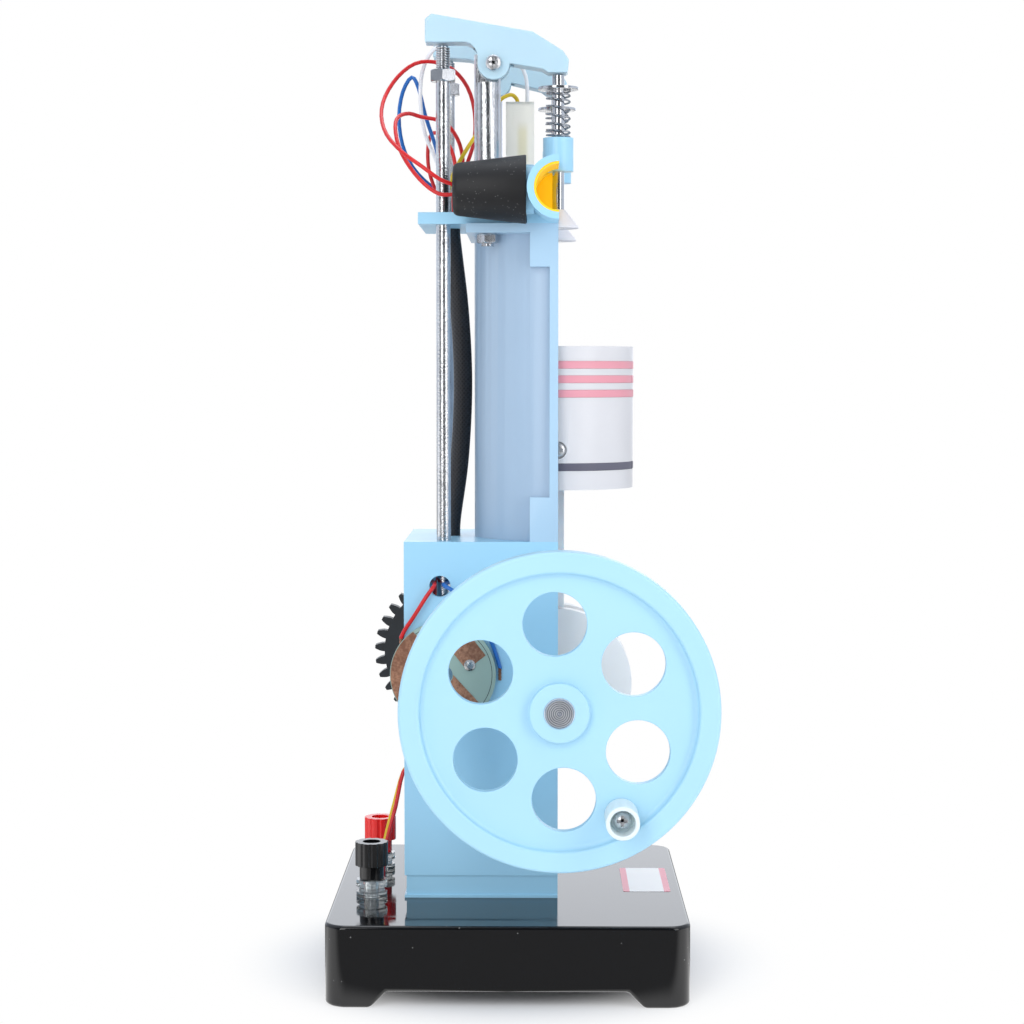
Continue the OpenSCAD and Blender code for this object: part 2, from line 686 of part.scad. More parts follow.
// Pins that hold the cylinder's lugs on the crankcase's walls
lug_pin_d = 2.2;
lug_pin_l = 12;
lug_x = engine_x - strip_t - lug_l / 2;
module at_lug_pins() {
    for (side = [near, far])
        translate([lug_x, wall_y(side) - side * case_wall * 0.58, case_top - lug_pin_l / 2]) children();
}
module crankcase() {
    inner_low = wall_y(near) + case_wall;
    inner_high = wall_y(far) - case_wall;
    color("#a9def6") difference() {
        union() {
            block(case_back, engine_x, wall_y(near), wall_y(far), case_low, case_top);
            for (side = [near, far])
                rod_side(side, engine_x, crank_z, case_w / 2 - case_wall, case_w / 2, ear_r);
        }
        block(case_back + case_wall, engine_x + ear_r + eps, inner_low, inner_high, case_low - eps,
            case_top - case_wall);
        rod_z(engine_x, engine_y, case_top - case_wall - eps, case_wall + 2 * eps, bore_r);
        for (side = [near, far]) {
            rod_side(side, engine_x, crank_z, case_w / 2 - 2 * case_wall, case_w / 2 + eps,
                shaft_d / 2 + bush_wall + press_gap);
            rod_side(side, cam_x, cam_z, case_w / 2 - 2 * case_wall, case_w / 2 + eps,
                camshaft_d / 2 + bush_wall + press_gap);
            rod_z(cam_x, side_y(side), case_top - 2 * case_wall, 3 * case_wall, pushrod_d / 2 + run_gap);
        }
        rod_z(sleeve_x, engine_y, case_top - 2 * case_wall, 3 * case_wall, sleeve_d / 2 + press_gap);
        rod_side(near, case_back + lead_hole_x, lead_hole_z, case_w / 2 - 2 * case_wall, case_w / 2 + eps,
            lead_hole_r);
        rod_x(case_back - eps, back_hole_y, base_h + back_hole_h, case_wall + 2 * eps, back_hole_r,
            back_hole_r);
        at_lug_pins() cylinder(r = lug_pin_d / 2 + press_gap, h = lug_pin_l);
    }
}
// Bushes in the two side walls, for the crankshaft and the camshaft
module bush(side, shaft_r) {
    difference() {
        union() {
            rod_side(side, 0, 0, case_w / 2 - case_wall, case_w / 2 + bush_flange_t / 2, shaft_r + bush_wall);
            rod_side(side, 0, 0, case_w / 2, case_w / 2 + bush_flange_t, shaft_r + 2 * bush_wall);
        }
        rod_side(side, 0, 0, case_w / 2 - 2 * case_wall, case_w / 2 + 2 * bush_flange_t, shaft_r + run_gap);
    }
}
module shaft_bushes() {
    color("#c9a45a") for (side = [near, far]) {
        translate([engine_x, 0, crank_z]) bush(side, shaft_d / 2);
        translate([cam_x, 0, cam_z]) bush(side, camshaft_d / 2);
    }
}

// Half cylinder with its cut-face strips, lugs and top flange
valve_pocket_gap = 0.5;
module cylinder_lug(side, low, high) {
    block(engine_x - strip_t - lug_l, engine_x - strip_t, min(side_y(side), wall_y(side)),
        max(side_y(side), wall_y(side)), low, high);
}
module cylinder_shell() {
    rod_z(engine_x, engine_y, case_top, cyl_h - top_flange_t, bore_r + cyl_wall);
    block(engine_x - strip_t, engine_x, wall_y(near), wall_y(far), case_top, flange_low);
    block(engine_x - top_flange_l, engine_x, wall_y(near), wall_y(far), flange_low, cyl_top);
    for (side = [near, far]) {
        cylinder_lug(side, case_top, case_top + low_lug_h);
        cylinder_lug(side, flange_low - top_lug_h, flange_low);
    }
}
module half_cylinder() {
    color("#aebfe0") difference() {
        cylinder_shell();
        front_space();
        rod_z(engine_x, engine_y, case_top - eps, cyl_h + 2 * eps, bore_r);
        for (side = [near, far]) {
            rod_z(engine_x, side_y(side), flange_low - eps, top_flange_t + 2 * eps,
                valve_head_r + valve_pocket_gap);
            rod_z(post_x, side_y(side), flange_low - eps, top_flange_t + 2 * eps, stud_d / 2 + press_gap);
        }
        at_lug_pins() cylinder(r = lug_pin_d / 2 + press_gap, h = lug_pin_l);
    }
}
module cylinder_pins() {
    color("silver") at_lug_pins() cylinder(r = lug_pin_d / 2, h = lug_pin_l);
}

// Least material of the plate round the holes for the posts' studs and the push rods
plate_edge = 1.5;
module head_plate() {
    half = plate_w / 2;
    color("#a9def6") difference() {
        union() {
            block(engine_x - plate_back, engine_x, engine_y - half, engine_y + half, cyl_top, plate_top);
            for (side = [near, far]) {
                rod_z(cam_x, side_y(side), cyl_top, plate_t, pushrod_d / 2 + run_gap + plate_edge);
                rod_z(post_x, side_y(side), cyl_top, plate_t, stud_d / 2 + press_gap + plate_edge);
            }
        }
        for (side = [near, far]) {
            notch = engine_y + side * (port_in - face_gap);
            block(engine_x - port_r - face_gap, engine_x + eps, min(notch, engine_y + side * base_w),
                max(notch, engine_y + side * base_w), cyl_top - eps, plate_top + eps);
            rod_z(cam_x, side_y(side), cyl_top - eps, plate_t + 2 * eps, pushrod_d / 2 + run_gap);
            rod_z(post_x, side_y(side), cyl_top - eps, plate_t + 2 * eps, stud_d / 2 + press_gap);
        }
        rod_z(sleeve_x, engine_y, cyl_top - eps, plate_t + 2 * eps, sleeve_d / 2 + press_gap);
        rod_z(spark_x, engine_y, cyl_top - eps, plate_t + 2 * eps, spark_lamp_r + press_gap);
    }
}

// Half pipe of a port, with its saddle, valve guide and lamp socket
module port_blank(side) {
    rod_side(side, engine_x, port_z, port_in, port_out, port_r);
    saddle = engine_y + side * port_in;
    block(engine_x - port_r, engine_x, min(saddle, wall_y(side)), max(saddle, wall_y(side)), cyl_top, port_z);
    rod_x(engine_x - port_r - socket_l, lamp_y(side), port_z, socket_l + port_wall, socket_r, socket_r);
}
module port(side) {
    seat_gap = face_gap;
    cone_slope = (valve_head_r - stem_d / 2) / valve_cone_h;
    color("#a9def6") difference() {
        union() {
            difference() {
                port_blank(side);
                front_space();
                rod_side(side, engine_x, port_z, port_in + port_wall, port_out + eps, port_r - port_wall);
            }
            rod_z(engine_x, side_y(side), guide_z, guide_l, guide_r);
        }
        rod_z(engine_x, side_y(side), guide_z - eps, guide_l + 2 * eps, stem_d / 2 + run_gap);
        translate([engine_x, side_y(side), stem_low + valve_rim_h])
            cylinder(r1 = valve_head_r + seat_gap, r2 = stem_d / 2 + seat_gap, h = valve_cone_h);
        rod_z(engine_x, side_y(side), stem_low, valve_rim_h + 0.01, valve_head_r + seat_gap);
        rod_x(engine_x - port_r - socket_l - eps, lamp_y(side), port_z, socket_l + port_r, lamp_r + press_gap,
            lamp_r + press_gap);
    }
}
module port_near() { port(near); }
module port_far() { port(far); }

module liner(side, shade) {
    outer = port_r - port_wall - press_gap;
    color(shade) difference() {
        rod_side(side, engine_x, port_z, port_in + port_wall, port_out - eps / 2, outer);
        rod_side(side, engine_x, port_z, port_in + port_wall - eps, port_out + eps, outer - liner_t);
        front_space();
        rod_z(engine_x, side_y(side), cyl_top, guide_top - cyl_top, guide_r + face_gap);
        rod_x(engine_x - 2 * port_r, lamp_y(side), port_z, 2 * port_r, lamp_r, lamp_r);
    }
}
module liner_near() { liner(near, "#f2b705"); }
module liner_far() { liner(far, "#4f8fd8"); }

module boot(side) {
    mouth_x = engine_x - port_r - face_gap;
    floor_x = mouth_x - boot_l;
    color("#1b1b1d") difference() {
        rod_x(floor_x, lamp_y(side), port_z, boot_l, boot_end_r, boot_r);
        rod_x(mouth_x - socket_l, lamp_y(side), port_z, socket_l + eps, socket_r + press_gap,
            socket_r + press_gap);
        rod_x(floor_x + boot_end_t, lamp_y(side), port_z, boot_l, lamp_r + 1, lamp_r + 1);
    }
}
module boot_near() { boot(near); }
module boot_far() { boot(far); }

lamp_cap_l = 12;
module lamps() {
    color("#e9e2c8") {
        for (side = [near, far]) {
            tip = engine_x - port_r + port_wall;
            rod_x(tip - lamp_cap_l - lamp_r, lamp_y(side), port_z, lamp_cap_l, lamp_r, lamp_r);
            translate([tip - lamp_r - eps / 2, lamp_y(side), port_z]) sphere(r = lamp_r - eps / 2);
        }
        rod_z(spark_x, engine_y, cyl_top, 3 * plate_t, spark_lamp_r);
        translate([spark_x, engine_y, cyl_top]) sphere(r = spark_lamp_r - eps / 4);
    }
}
module spark_block() {
    half = spark_w / 2;
    color("#e9ecef") difference() {
        block(spark_x - half, spark_x + half, engine_y - half, engine_y + half, plate_top,
            plate_top + spark_h);
        rod_z(spark_x, engine_y, plate_top - eps, 2 * plate_t + eps, spark_lamp_r + press_gap);
    }
}

module post(side) {
    tongue_low = pivot_z - tongue_drop;
    tongue_top = pivot_z + pivot_d;
    half = tongue_t / 2;
    color("#c9ccd1") difference() {
        union() {
            rod_z(post_x, side_y(side), plate_top, tongue_low - plate_top, post_d / 2);
            intersection() {
                rod_z(post_x, side_y(side), tongue_low - eps, tongue_top - tongue_low + eps, post_d / 2);
                block(post_x - post_d, post_x + post_d, side_y(side) - half, side_y(side) + half,
                    tongue_low - eps, tongue_top);
            }
            rod_z(post_x, side_y(side), flange_low - post_nut_h - stud_d / 4,
                plate_top - flange_low + post_nut_h + stud_d / 4 + eps, stud_d / 2);
        }
        rod_y(pivot_x, pivot_z, side_y(side) - post_d, 2 * post_d, pivot_d / 2 + press_gap);
    }
}
module post_near() { post(near); }
module post_far() { post(far); }

post_nut_flats = 8;
module post_nuts() {
    color("silver") for (side = [near, far])
        translate([post_x, side_y(side), flange_low - post_nut_h]) rotate(30 + side * 15)
            hex_nut(post_nut_h, post_nut_flats, stud_d);
}
module pivot_screws() {
    half = rocker_w / 2;
    head_h = 2.4;
    color("silver") for (side = [near, far]) {
        inner = valve_offset - half;
        outer = valve_offset + half + face_gap;
        rod_side(side, pivot_x, pivot_z, inner, outer + head_h / 2, pivot_d / 2);
        rod_side(side, pivot_x, pivot_z, outer, outer + head_h, pivot_d * 0.8);
    }
}

// Rocker in its photographed tilt, turned further by an angle where its valve is open
module rocker(side, turn) {
    slot = tongue_t / 2 + face_gap;
    half = rocker_w / 2;
    color("#a9def6") translate([pivot_x, side_y(side), pivot_z]) rotate([0, turn, 0]) difference() {
        union() {
            along_y(-half, rocker_w) polygon(rocker_outline);
            rod_y(valve_lever, tip_rise, -half, rocker_w, tip_r);
            rod_y(0, 0, -half, rocker_w, rocker_boss_r);
        }
        block(-2 * post_d, post_d / 2 + post_set_back, -slot, slot, -2 * post_d, pivot_d + 2.8);
        rod_y(0, 0, -rocker_w, 2 * rocker_w, pivot_d / 2 + run_gap);
    }
}
module rocker_near() { rocker(near, 0); }
module rocker_far() { rocker(far, open_angle); }

lock_nut_flats = 10;
module pushrod(side, rise) {
    top = pushrod_top + rise;
    low = tappet_z + rise;
    color("#c9ccd1") {
        rod_z(cam_x, side_y(side), low, top - low, pushrod_d / 2);
        rod_z(cam_x, side_y(side), low, tappet_t, tappet_r);
        translate([cam_x, side_y(side), top - lock_nut_drop - lock_nut_h]) rotate(30)
            hex_nut(lock_nut_h, lock_nut_flats, pushrod_d);
    }
}
module pushrod_near() { pushrod(near, 0); }
module pushrod_far() { pushrod(far, rod_lift); }

module valve_stem(side, drop) {
    retainer_z = stem_top - retainer_drop - retainer_t - drop;
    color("#d5d7da") {
        rod_z(engine_x, side_y(side), stem_low - drop, stem_top - stem_low, stem_d / 2);
        difference() {
            rod_z(engine_x, side_y(side), retainer_z, retainer_t, retainer_r);
            rod_z(engine_x, side_y(side), retainer_z - eps, retainer_t + 2 * eps, stem_d / 2 + press_gap);
        }
    }
}
module valve_stem_near() { valve_stem(near, 0); }
module valve_stem_far() { valve_stem(far, valve_lift); }

module valve_head(side, drop) {
    color("#eef1f2") translate([engine_x, side_y(side), stem_low - drop]) difference() {
        union() {
            cylinder(r = valve_head_r, h = valve_rim_h);
            translate([0, 0, valve_rim_h])
                cylinder(r1 = valve_head_r, r2 = stem_d / 2 + 0.4, h = valve_cone_h);
        }
        translate([0, 0, -eps]) cylinder(r = stem_d / 2 + press_gap, h = valve_cone_h + 3 * eps);
    }
}
module valve_head_near() { valve_head(near, 0); }
module valve_head_far() { valve_head(far, valve_lift); }

spring_room = stem_top - retainer_drop - retainer_t - guide_top;
module valve_spring(side, drop) {
    h = spring_room - drop;
    echo("least gap in a valve spring", spring_gap(h));
    color("#b9bcc2") translate([engine_x, side_y(side), guide_top])
        tube(spring_path(h), spring_wire / 2, spring_sides, [0, 0, 1]);
}
module spring_near() { valve_spring(near, 0); }
module spring_far() { valve_spring(far, valve_lift); }

sleeve_sides = 12;
module sleeve() {
    color("#17171a") tube(smooth_route(route_sleeve, wire_steps + 1), sleeve_d / 2, sleeve_sides, [0, 1, 0]);
}
module wires_red() {
    color("#d81f1f")
        for (route = [route_red_small, route_red_large, route_red_far, route_lead_red, route_brush_red])
            wire(route);
}
module wires_blue() {
    color("#2458b8") for (route = [route_blue, route_brush_blue]) wire(route);
}
module wires_white() {
    color("#f1f1ef") wire(route_white);
}
module wires_yellow() {
    color("#e5c21c") for (route = [route_yellow, route_lead_yellow]) wire(route);
}
module brushes() {
    color("#c98a4b") for (k = [0, 1]) {
        x = brush_top(k)[0];
        z = brush_top(k)[2];
        block(x - brush_w / 2, x + brush_w / 2, wall_y(near) - brush_t, wall_y(near), z - brush_l, z);
    }
}

terminal_nut_h = 3;
terminal_rise = 6;
module terminal_studs() {
    color("silver") at_terminals() {
        rod_z(0, 0, base_h - base_top_t - 2 * terminal_nut_h,
            base_top_t + 2 * terminal_nut_h + collar_h + terminal_rise, terminal_stud_d / 2);
        translate([0, 0, base_h - base_top_t - terminal_nut_h])
            hex_nut(terminal_nut_h, 2 * terminal_stud_d, terminal_stud_d);
    }
}
collar_neck = 1.2;
module terminal_collars() {
    color("#dfe6ea") at_terminals() difference() {
        union() {
            rod_z(0, 0, base_h, collar_h / 3, terminal_r);
            rod_z(0, 0, base_h, collar_h * 0.8, terminal_r - collar_neck);
            rod_z(0, 0, base_h + collar_h * 0.6, collar_h * 0.4, terminal_r);
        }
        rod_z(0, 0, base_h - eps, collar_h + 2 * eps, terminal_stud_d / 2 + press_gap);
    }
}
flute_r = 1.2;
flutes = 12;
knob_step = 1.4;
module terminal_knob(side, shade) {
    low = base_h + collar_h + face_gap;
    color(shade) translate([-terminal_back, side * terminal_offset, low]) difference() {
        union() {
            cylinder(r = terminal_r - knob_step, h = knob_neck_h + eps);
            translate([0, 0, knob_neck_h]) cylinder(r = terminal_r + flute_r / 3, h = knob_h - knob_neck_h);
        }
        for (k = [0 : flutes - 1])
            rotate(360 * k / flutes) rod_z(terminal_r + flute_r, 0, knob_neck_h - eps, knob_h, flute_r);
        translate([0, 0, -eps])
            cylinder(r = terminal_stud_d / 2 + run_gap, h = terminal_rise + 2 * eps);
        translate([0, 0, knob_h / 2 + eps]) cylinder(r = terminal_r - 2 * knob_step, h = knob_h);
    }
}
module terminal_knob_black() { terminal_knob(near, "#141416"); }
module terminal_knob_red() { terminal_knob(far, "#d3211f"); }

// Built-up crankshaft: two shafts and the crank pin, pressed into the webs
module crankshaft() {
    gear_end = gear_y + gear_t + eps;
    color("#b4b7bc") {
        rod_y(engine_x, crank_z, fly_y - eps, engine_y - web_in - fly_y + eps, shaft_d / 2);
        rod_y(engine_x, crank_z, engine_y + web_in, gear_end - engine_y - web_in, shaft_d / 2);
        rod_y(engine_x, pin_z, engine_y - web_out, 2 * web_out, crank_pin_d / 2);
    }
}
module crank_webs() {
    color("#edf0f1") for (side = [near, far]) difference() {
        rod_side(side, engine_x, crank_z, web_in, web_out, web_r);
        rod_side(side, engine_x, crank_z, web_in - eps, web_out + eps, shaft_d / 2 + press_gap);
        rod_side(side, engine_x, pin_z, web_in - eps, web_out + eps, crank_pin_d / 2 + press_gap);
        rod_side(side, engine_x, crank_z - crank_r / 2, web_in - eps, web_out + eps, dowel_d / 2 + run_gap);
    }
}
module web_dowels() {
    color("#9da1a7") for (side = [near, far])
        rod_side(side, engine_x, crank_z - crank_r / 2, web_in, web_out, dowel_d / 2);
}

// Gear outline with involute flanks
pressure_angle = 20;
flank_points = 5;
function involute_angle(base_radius, r) =
    let (turn = sqrt(max(pow(r / base_radius, 2) - 1, 0)))
    turn * 180 / PI - atan(turn);
module gear_outline(teeth) {
    pitch_r = gear_module * teeth / 2;
    base_radius = pitch_r * cos(pressure_angle);
    tip = pitch_r + 0.95 * gear_module;
    root = pitch_r - 1.2 * gear_module;
    half_tooth = 90 / teeth - 0.04 * 90 / teeth + involute_angle(base_radius, pitch_r);
    start = max(base_radius, root);
    flank = [
        for (k = [0 : flank_points - 1])
            let (r = start + (tip - start) * k / (flank_points - 1))
            [r, half_tooth - involute_angle(base_radius, r)]
    ];
    polygon([
        for (t = [0 : teeth - 1])
            let (turn = 360 * t / teeth)
            for (p = concat(
                    [[root, -flank[0][1]]],
                    [for (k = [0 : flank_points - 1]) [flank[k][0], -flank[k][1]]],
                    [for (k = [flank_points - 1 : -1 : 0]) flank[k]],
                    [[root, flank[0][1]]]))
                p[0] * [cos(turn + p[1]), sin(turn + p[1])]
    ]);
}
module gear(x, z, teeth, turn, bore_d) {
    color("#1a1a1c") translate([x, 0, z]) difference() {
        along_y(gear_y, gear_t) rotate(turn) gear_outline(teeth);
        rod_y(0, 0, gear_y - eps, gear_t + 2 * eps, bore_d / 2 + press_gap);
    }
}
module crank_gear() { gear(engine_x, crank_z, pinion_teeth, cam_angle, shaft_d); }
module cam_gear() { gear(cam_x, cam_z, cam_teeth, cam_angle + 180 + 180 / cam_teeth, camshaft_d); }

// Flywheel with its rim, web, hub and six holes
module flywheel() {
    web_y = fly_y + (fly_t - fly_web_t) / 2;
    color("#a9def6") translate([engine_x, 0, crank_z]) difference() {
        union() {
            difference() {
                rod_y(0, 0, fly_y, fly_t, fly_r);
                rod_y(0, 0, fly_y - eps, fly_t + 2 * eps, fly_r - rim_w);
            }
            rod_y(0, 0, web_y, fly_web_t, fly_r - rim_w / 2);
            rod_y(0, 0, fly_y, hub_l, hub_r);
        }
        for (k = [0 : 5])
            rotate([0, -fly_hole_turn - 60 * k, 0])
                rod_y(fly_hole_circle_r, 0, fly_y - eps, fly_t + 2 * eps, fly_hole_r);
        rod_y(0, 0, fly_y - eps, hub_l + 2 * eps, shaft_d / 2 + press_gap);
        rotate([0, -handle_angle, 0])
            rod_y(handle_circle_r, 0, fly_y - eps, fly_t + 2 * eps, handle_screw_d / 2 + press_gap);
    }
}
handle_x = engine_x + handle_circle_r * cos(handle_angle);
handle_z = crank_z + handle_circle_r * sin(handle_angle);
handle_foot = fly_y + (fly_t - fly_web_t) / 2;
handle_head_h = 2.6;
handle_head_r = 3.3;
handle_recess_r = 4.9;
module handle_screw() {
    head_y = handle_foot - handle_l + handle_recess - face_gap;
    color("silver") {
        rod_y(handle_x, handle_z, head_y - eps, handle_foot - head_y + fly_web_t + eps, handle_screw_d / 2);
        rod_y(handle_x, handle_z, head_y - handle_head_h, handle_head_h, handle_head_r);
    }
}
module handle_knob() {
    tip = handle_foot - handle_l - face_gap / 2;
    color("#eef1f2") difference() {
        rod_y(handle_x, handle_z, tip, handle_l, handle_r);
        rod_y(handle_x, handle_z, tip - eps, handle_l + 2 * eps, handle_screw_d / 2 + run_gap);
        rod_y(handle_x, handle_z, tip - eps, handle_recess + eps, handle_recess_r);
    }
}

module connecting_rod() {
    half = shank_t / 2;
    color("#dfe3ea") difference() {
        union() {
            rod_y(engine_x, pin_z, engine_y - rod_t / 2, rod_t, big_end_r);
            rod_y(engine_x, gudgeon_z, engine_y - small_end_t / 2, small_end_t, small_end_r);
            block(engine_x - shank_w / 2, engine_x + shank_w / 2, engine_y - half, engine_y + half, pin_z,
                gudgeon_z);
        }
        rod_y(engine_x, pin_z, engine_y - rod_t, 2 * rod_t, crank_pin_d / 2 + run_gap);
        rod_y(engine_x, gudgeon_z, engine_y - rod_t, 2 * rod_t, gudgeon_d / 2 + press_gap);
    }
}
boss_in = rod_t / 2 + web_gap;
module gudgeon_pin() {
    half = boss_in - web_gap / 2;
    color("#9da1a7") rod_y(engine_x, gudgeon_z, engine_y - half, 2 * half, gudgeon_d / 2);
}

// Piston, open below, with its two gudgeon bosses and its ring grooves
screw_seat = 3;
screw_seat_r = gudgeon_d / 2 + 2 * face_gap;
function ring_low(k) = piston_low + piston_h - ring_drop - ring_h - k * ring_pitch;
module groove(low) {
    difference() {
        rod_z(engine_x, engine_y, low, ring_h, piston_r + eps);
        rod_z(engine_x, engine_y, low - eps, ring_h + 2 * eps, piston_r - ring_depth - press_gap);
    }
}
module piston() {
    color("#f0f2f3") difference() {
        union() {
            difference() {
                rod_z(engine_x, engine_y, piston_low, piston_h, piston_r);
                rod_z(engine_x, engine_y, piston_low - eps, piston_h - crown_t + eps, piston_r - piston_wall);
            }
            intersection() {
                for (side = [near, far])
                    rod_side(side, engine_x, gudgeon_z, boss_in, piston_r, boss_r);
                rod_z(engine_x, engine_y, piston_low, piston_h, piston_r - piston_wall / 2);
            }
        }
        for (k = [0 : 2]) groove(ring_low(k));
        groove(piston_low + oil_ring_h - ring_h);
        for (side = [near, far]) {
            rod_side(side, engine_x, gudgeon_z, boss_in - eps, piston_r, gudgeon_d / 2 + press_gap);
            rod_side(side, engine_x, gudgeon_z, piston_r - screw_seat, piston_r + eps, screw_seat_r);
        }
    }
}
module ring(low) {
    difference() {
        rod_z(engine_x, engine_y, low, ring_h, piston_r + ring_proud);
        rod_z(engine_x, engine_y, low - eps, ring_h + 2 * eps, piston_r - ring_depth);
    }
}
module piston_rings() {
    color("#f08f9c") for (k = [0 : 2]) ring(ring_low(k));
}
module oil_ring() {
    color("#4a4a55") ring(piston_low + oil_ring_h - ring_h);
}
module gudgeon_screws() {
    color("silver") for (side = [near, far]) {
        rod_side(side, engine_x, gudgeon_z, boss_in + web_gap, piston_r - screw_seat + eps, gudgeon_d / 2);
        rod_side(side, engine_x, gudgeon_z, piston_r - screw_seat, piston_r - screw_seat / 4,
            screw_seat_r - face_gap);
    }
}

module camshaft() {
    near_end = wall_y(near) - bush_flange_t - face_gap - disc_t;
    color("#b4b7bc")
        rod_y(cam_x, cam_z, near_end, gear_y + gear_t + eps - near_end, camshaft_d / 2);
}
module cam(side, turn) {
    nose = cam_base_r + rod_lift - cam_nose_r;
    translate([cam_x, 0, cam_z]) difference() {
        rotate([0, turn, 0]) {
            rod_y(0, 0, side_y(side) - cam_t / 2, cam_t, cam_base_r);
            rod_y(0, nose, side_y(side) - cam_t / 2, cam_t, cam_nose_r);
        }
        rod_y(0, 0, side_y(side) - cam_t, 2 * cam_t, camshaft_d / 2 + press_gap);
    }
}
exhaust_turn = -110;
module cams() {
    color("#e4e6e2") {
        cam(near, exhaust_turn);
        cam(far, 0);
    }
}
disc_y = wall_y(near) - bush_flange_t - face_gap - disc_t;
disc_screw_d = 3;
disc_screw_circle_r = 11.8;
module at_disc_screws() {
    for (turn = [20, 200])
        translate([cam_x + disc_screw_circle_r * cos(turn), 0, cam_z + disc_screw_circle_r * sin(turn)])
            children();
}
module contact_disc() {
    color("#cfe0b8") difference() {
        rod_y(cam_x, cam_z, disc_y, disc_t, disc_r);
        rod_y(cam_x, cam_z, disc_y - eps, disc_t + 2 * eps, camshaft_d / 2 + press_gap);
    }
}
// Copper patches of the contact disc: a large one with a straight edge, and a smaller one past that edge
copper_turn = 42.7;
copper_rim = 0.3;
patch_corner = [9.9, 2];
patch_turn = 38.2;
patch_l = 12;
module disc_copper() {
    translate([cam_x, 0, cam_z]) along_y(disc_y - copper_t, copper_t) intersection() {
        circle(r = disc_r - copper_rim);
        children();
    }
}
module contact_sectors() {
    color("#a9663a") {
        disc_copper() difference() {
            rotate(copper_turn) translate([copper_edge - 2 * disc_r, -disc_r]) square([2 * disc_r, 2 * disc_r]);
            circle(d = camshaft_d + 2 * face_gap);
        }
        disc_copper() translate(patch_corner) rotate(patch_turn) square([copper_w, patch_l]);
    }
}
module disc_screws() {
    color("silver") at_disc_screws()
        rod_y(0, 0, disc_y - copper_t - disc_screw_d / 2, disc_screw_d / 2, disc_screw_d);
}

base();
base_screws();
crankcase();
case_plinth();
shaft_bushes();
half_cylinder();
cylinder_pins();
head_plate();
port_near();
port_far();
liner_near();
liner_far();
boot_near();
boot_far();
lamps();
spark_block();
post_near();
post_far();
post_nuts();
pivot_screws();
spring_near();
spring_far();
sleeve();
wires_red();
wires_blue();
wires_white();
wires_yellow();
brushes();
terminal_studs();
terminal_collars();
terminal_knob_black();
terminal_knob_red();
crankshaft();
crank_webs();
crank_gear();
flywheel();
handle_screw();
web_dowels();
handle_knob();
connecting_rod();
gudgeon_pin();
piston();
piston_rings();
oil_ring();
gudgeon_screws();
camshaft();
cam_gear();
cams();
contact_disc();
contact_sectors();
disc_screws();
rocker_near();
rocker_far();
pushrod_near();
pushrod_far();
valve_stem_near();
valve_stem_far();
valve_head_near();
valve_head_far();
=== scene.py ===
import bpy
import bmesh
import math
from mathutils import Matrix, Vector


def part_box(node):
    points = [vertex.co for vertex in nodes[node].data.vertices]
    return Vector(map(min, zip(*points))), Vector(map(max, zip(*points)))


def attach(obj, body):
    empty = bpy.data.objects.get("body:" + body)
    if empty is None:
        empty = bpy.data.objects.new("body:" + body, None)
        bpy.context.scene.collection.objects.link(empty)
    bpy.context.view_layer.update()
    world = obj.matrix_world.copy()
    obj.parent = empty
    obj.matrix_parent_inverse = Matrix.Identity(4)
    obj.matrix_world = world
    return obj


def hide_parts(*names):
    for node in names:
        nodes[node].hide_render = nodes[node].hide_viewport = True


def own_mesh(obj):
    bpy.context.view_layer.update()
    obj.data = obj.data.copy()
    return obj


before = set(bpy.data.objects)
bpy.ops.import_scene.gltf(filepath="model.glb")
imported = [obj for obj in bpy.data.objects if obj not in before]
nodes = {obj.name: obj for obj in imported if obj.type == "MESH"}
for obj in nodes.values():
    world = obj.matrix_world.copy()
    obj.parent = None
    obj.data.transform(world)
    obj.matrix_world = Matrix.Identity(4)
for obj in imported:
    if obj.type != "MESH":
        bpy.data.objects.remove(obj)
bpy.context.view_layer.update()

# Studio: a white table top that runs into a white background, between two tall soft lamps near the camera.
# The room before the table is dim, so gloss and metal show dark bands beside the bright lamps.
# The camera stands about a metre away on the flywheel's side, a little above the crankcase.
def linear(code):
    """sRGB hex colour as linear red, green, blue and alpha"""
    parts = [int(code[i:i + 2], 16) / 255 for i in (1, 3, 5)]
    return tuple(c / 12.92 if c <= 0.04045 else ((c + 0.055) / 1.055) ** 2.4 for c in parts) + (1.0,)


def add_node(tree, kind, inputs=None, **settings):
    """Adds a node with its settings, and gives each input a value or a link from another node's output"""
    node = tree.nodes.new(kind)
    for name, value in settings.items():
        setattr(node, name, value)
    for name, value in (inputs or {}).items():
        if isinstance(value, bpy.types.NodeSocket):
            tree.links.new(value, node.inputs[name])
        else:
            node.inputs[name].default_value = value
    return node


def new_material(name):
    """Empty material, its node tree, and the place on the piece that its patterns are laid out on"""
    material = bpy.data.materials.new(name)
    material.use_nodes = True
    tree = material.node_tree
    tree.nodes.clear()
    return material, tree, add_node(tree, "ShaderNodeTexCoord").outputs["Object"]


def finish_material(material, shader):
    """Puts a shader on a material's surface"""
    add_node(material.node_tree, "ShaderNodeOutputMaterial", {"Surface": shader.outputs[0]})
    return material


camera = bpy.data.objects.new("camera", bpy.data.cameras.new("camera"))
camera.data.lens = 79.1
camera.data.sensor_width = 36
camera.data.clip_end = 50
camera.location = (0.01068, -0.9596, 0.2528)
camera.rotation_euler = (math.radians(86.44), 0, math.radians(0.57))
bpy.context.scene.collection.objects.link(camera)
bpy.context.scene.camera = camera
bpy.context.scene.view_settings.view_transform = "Standard"

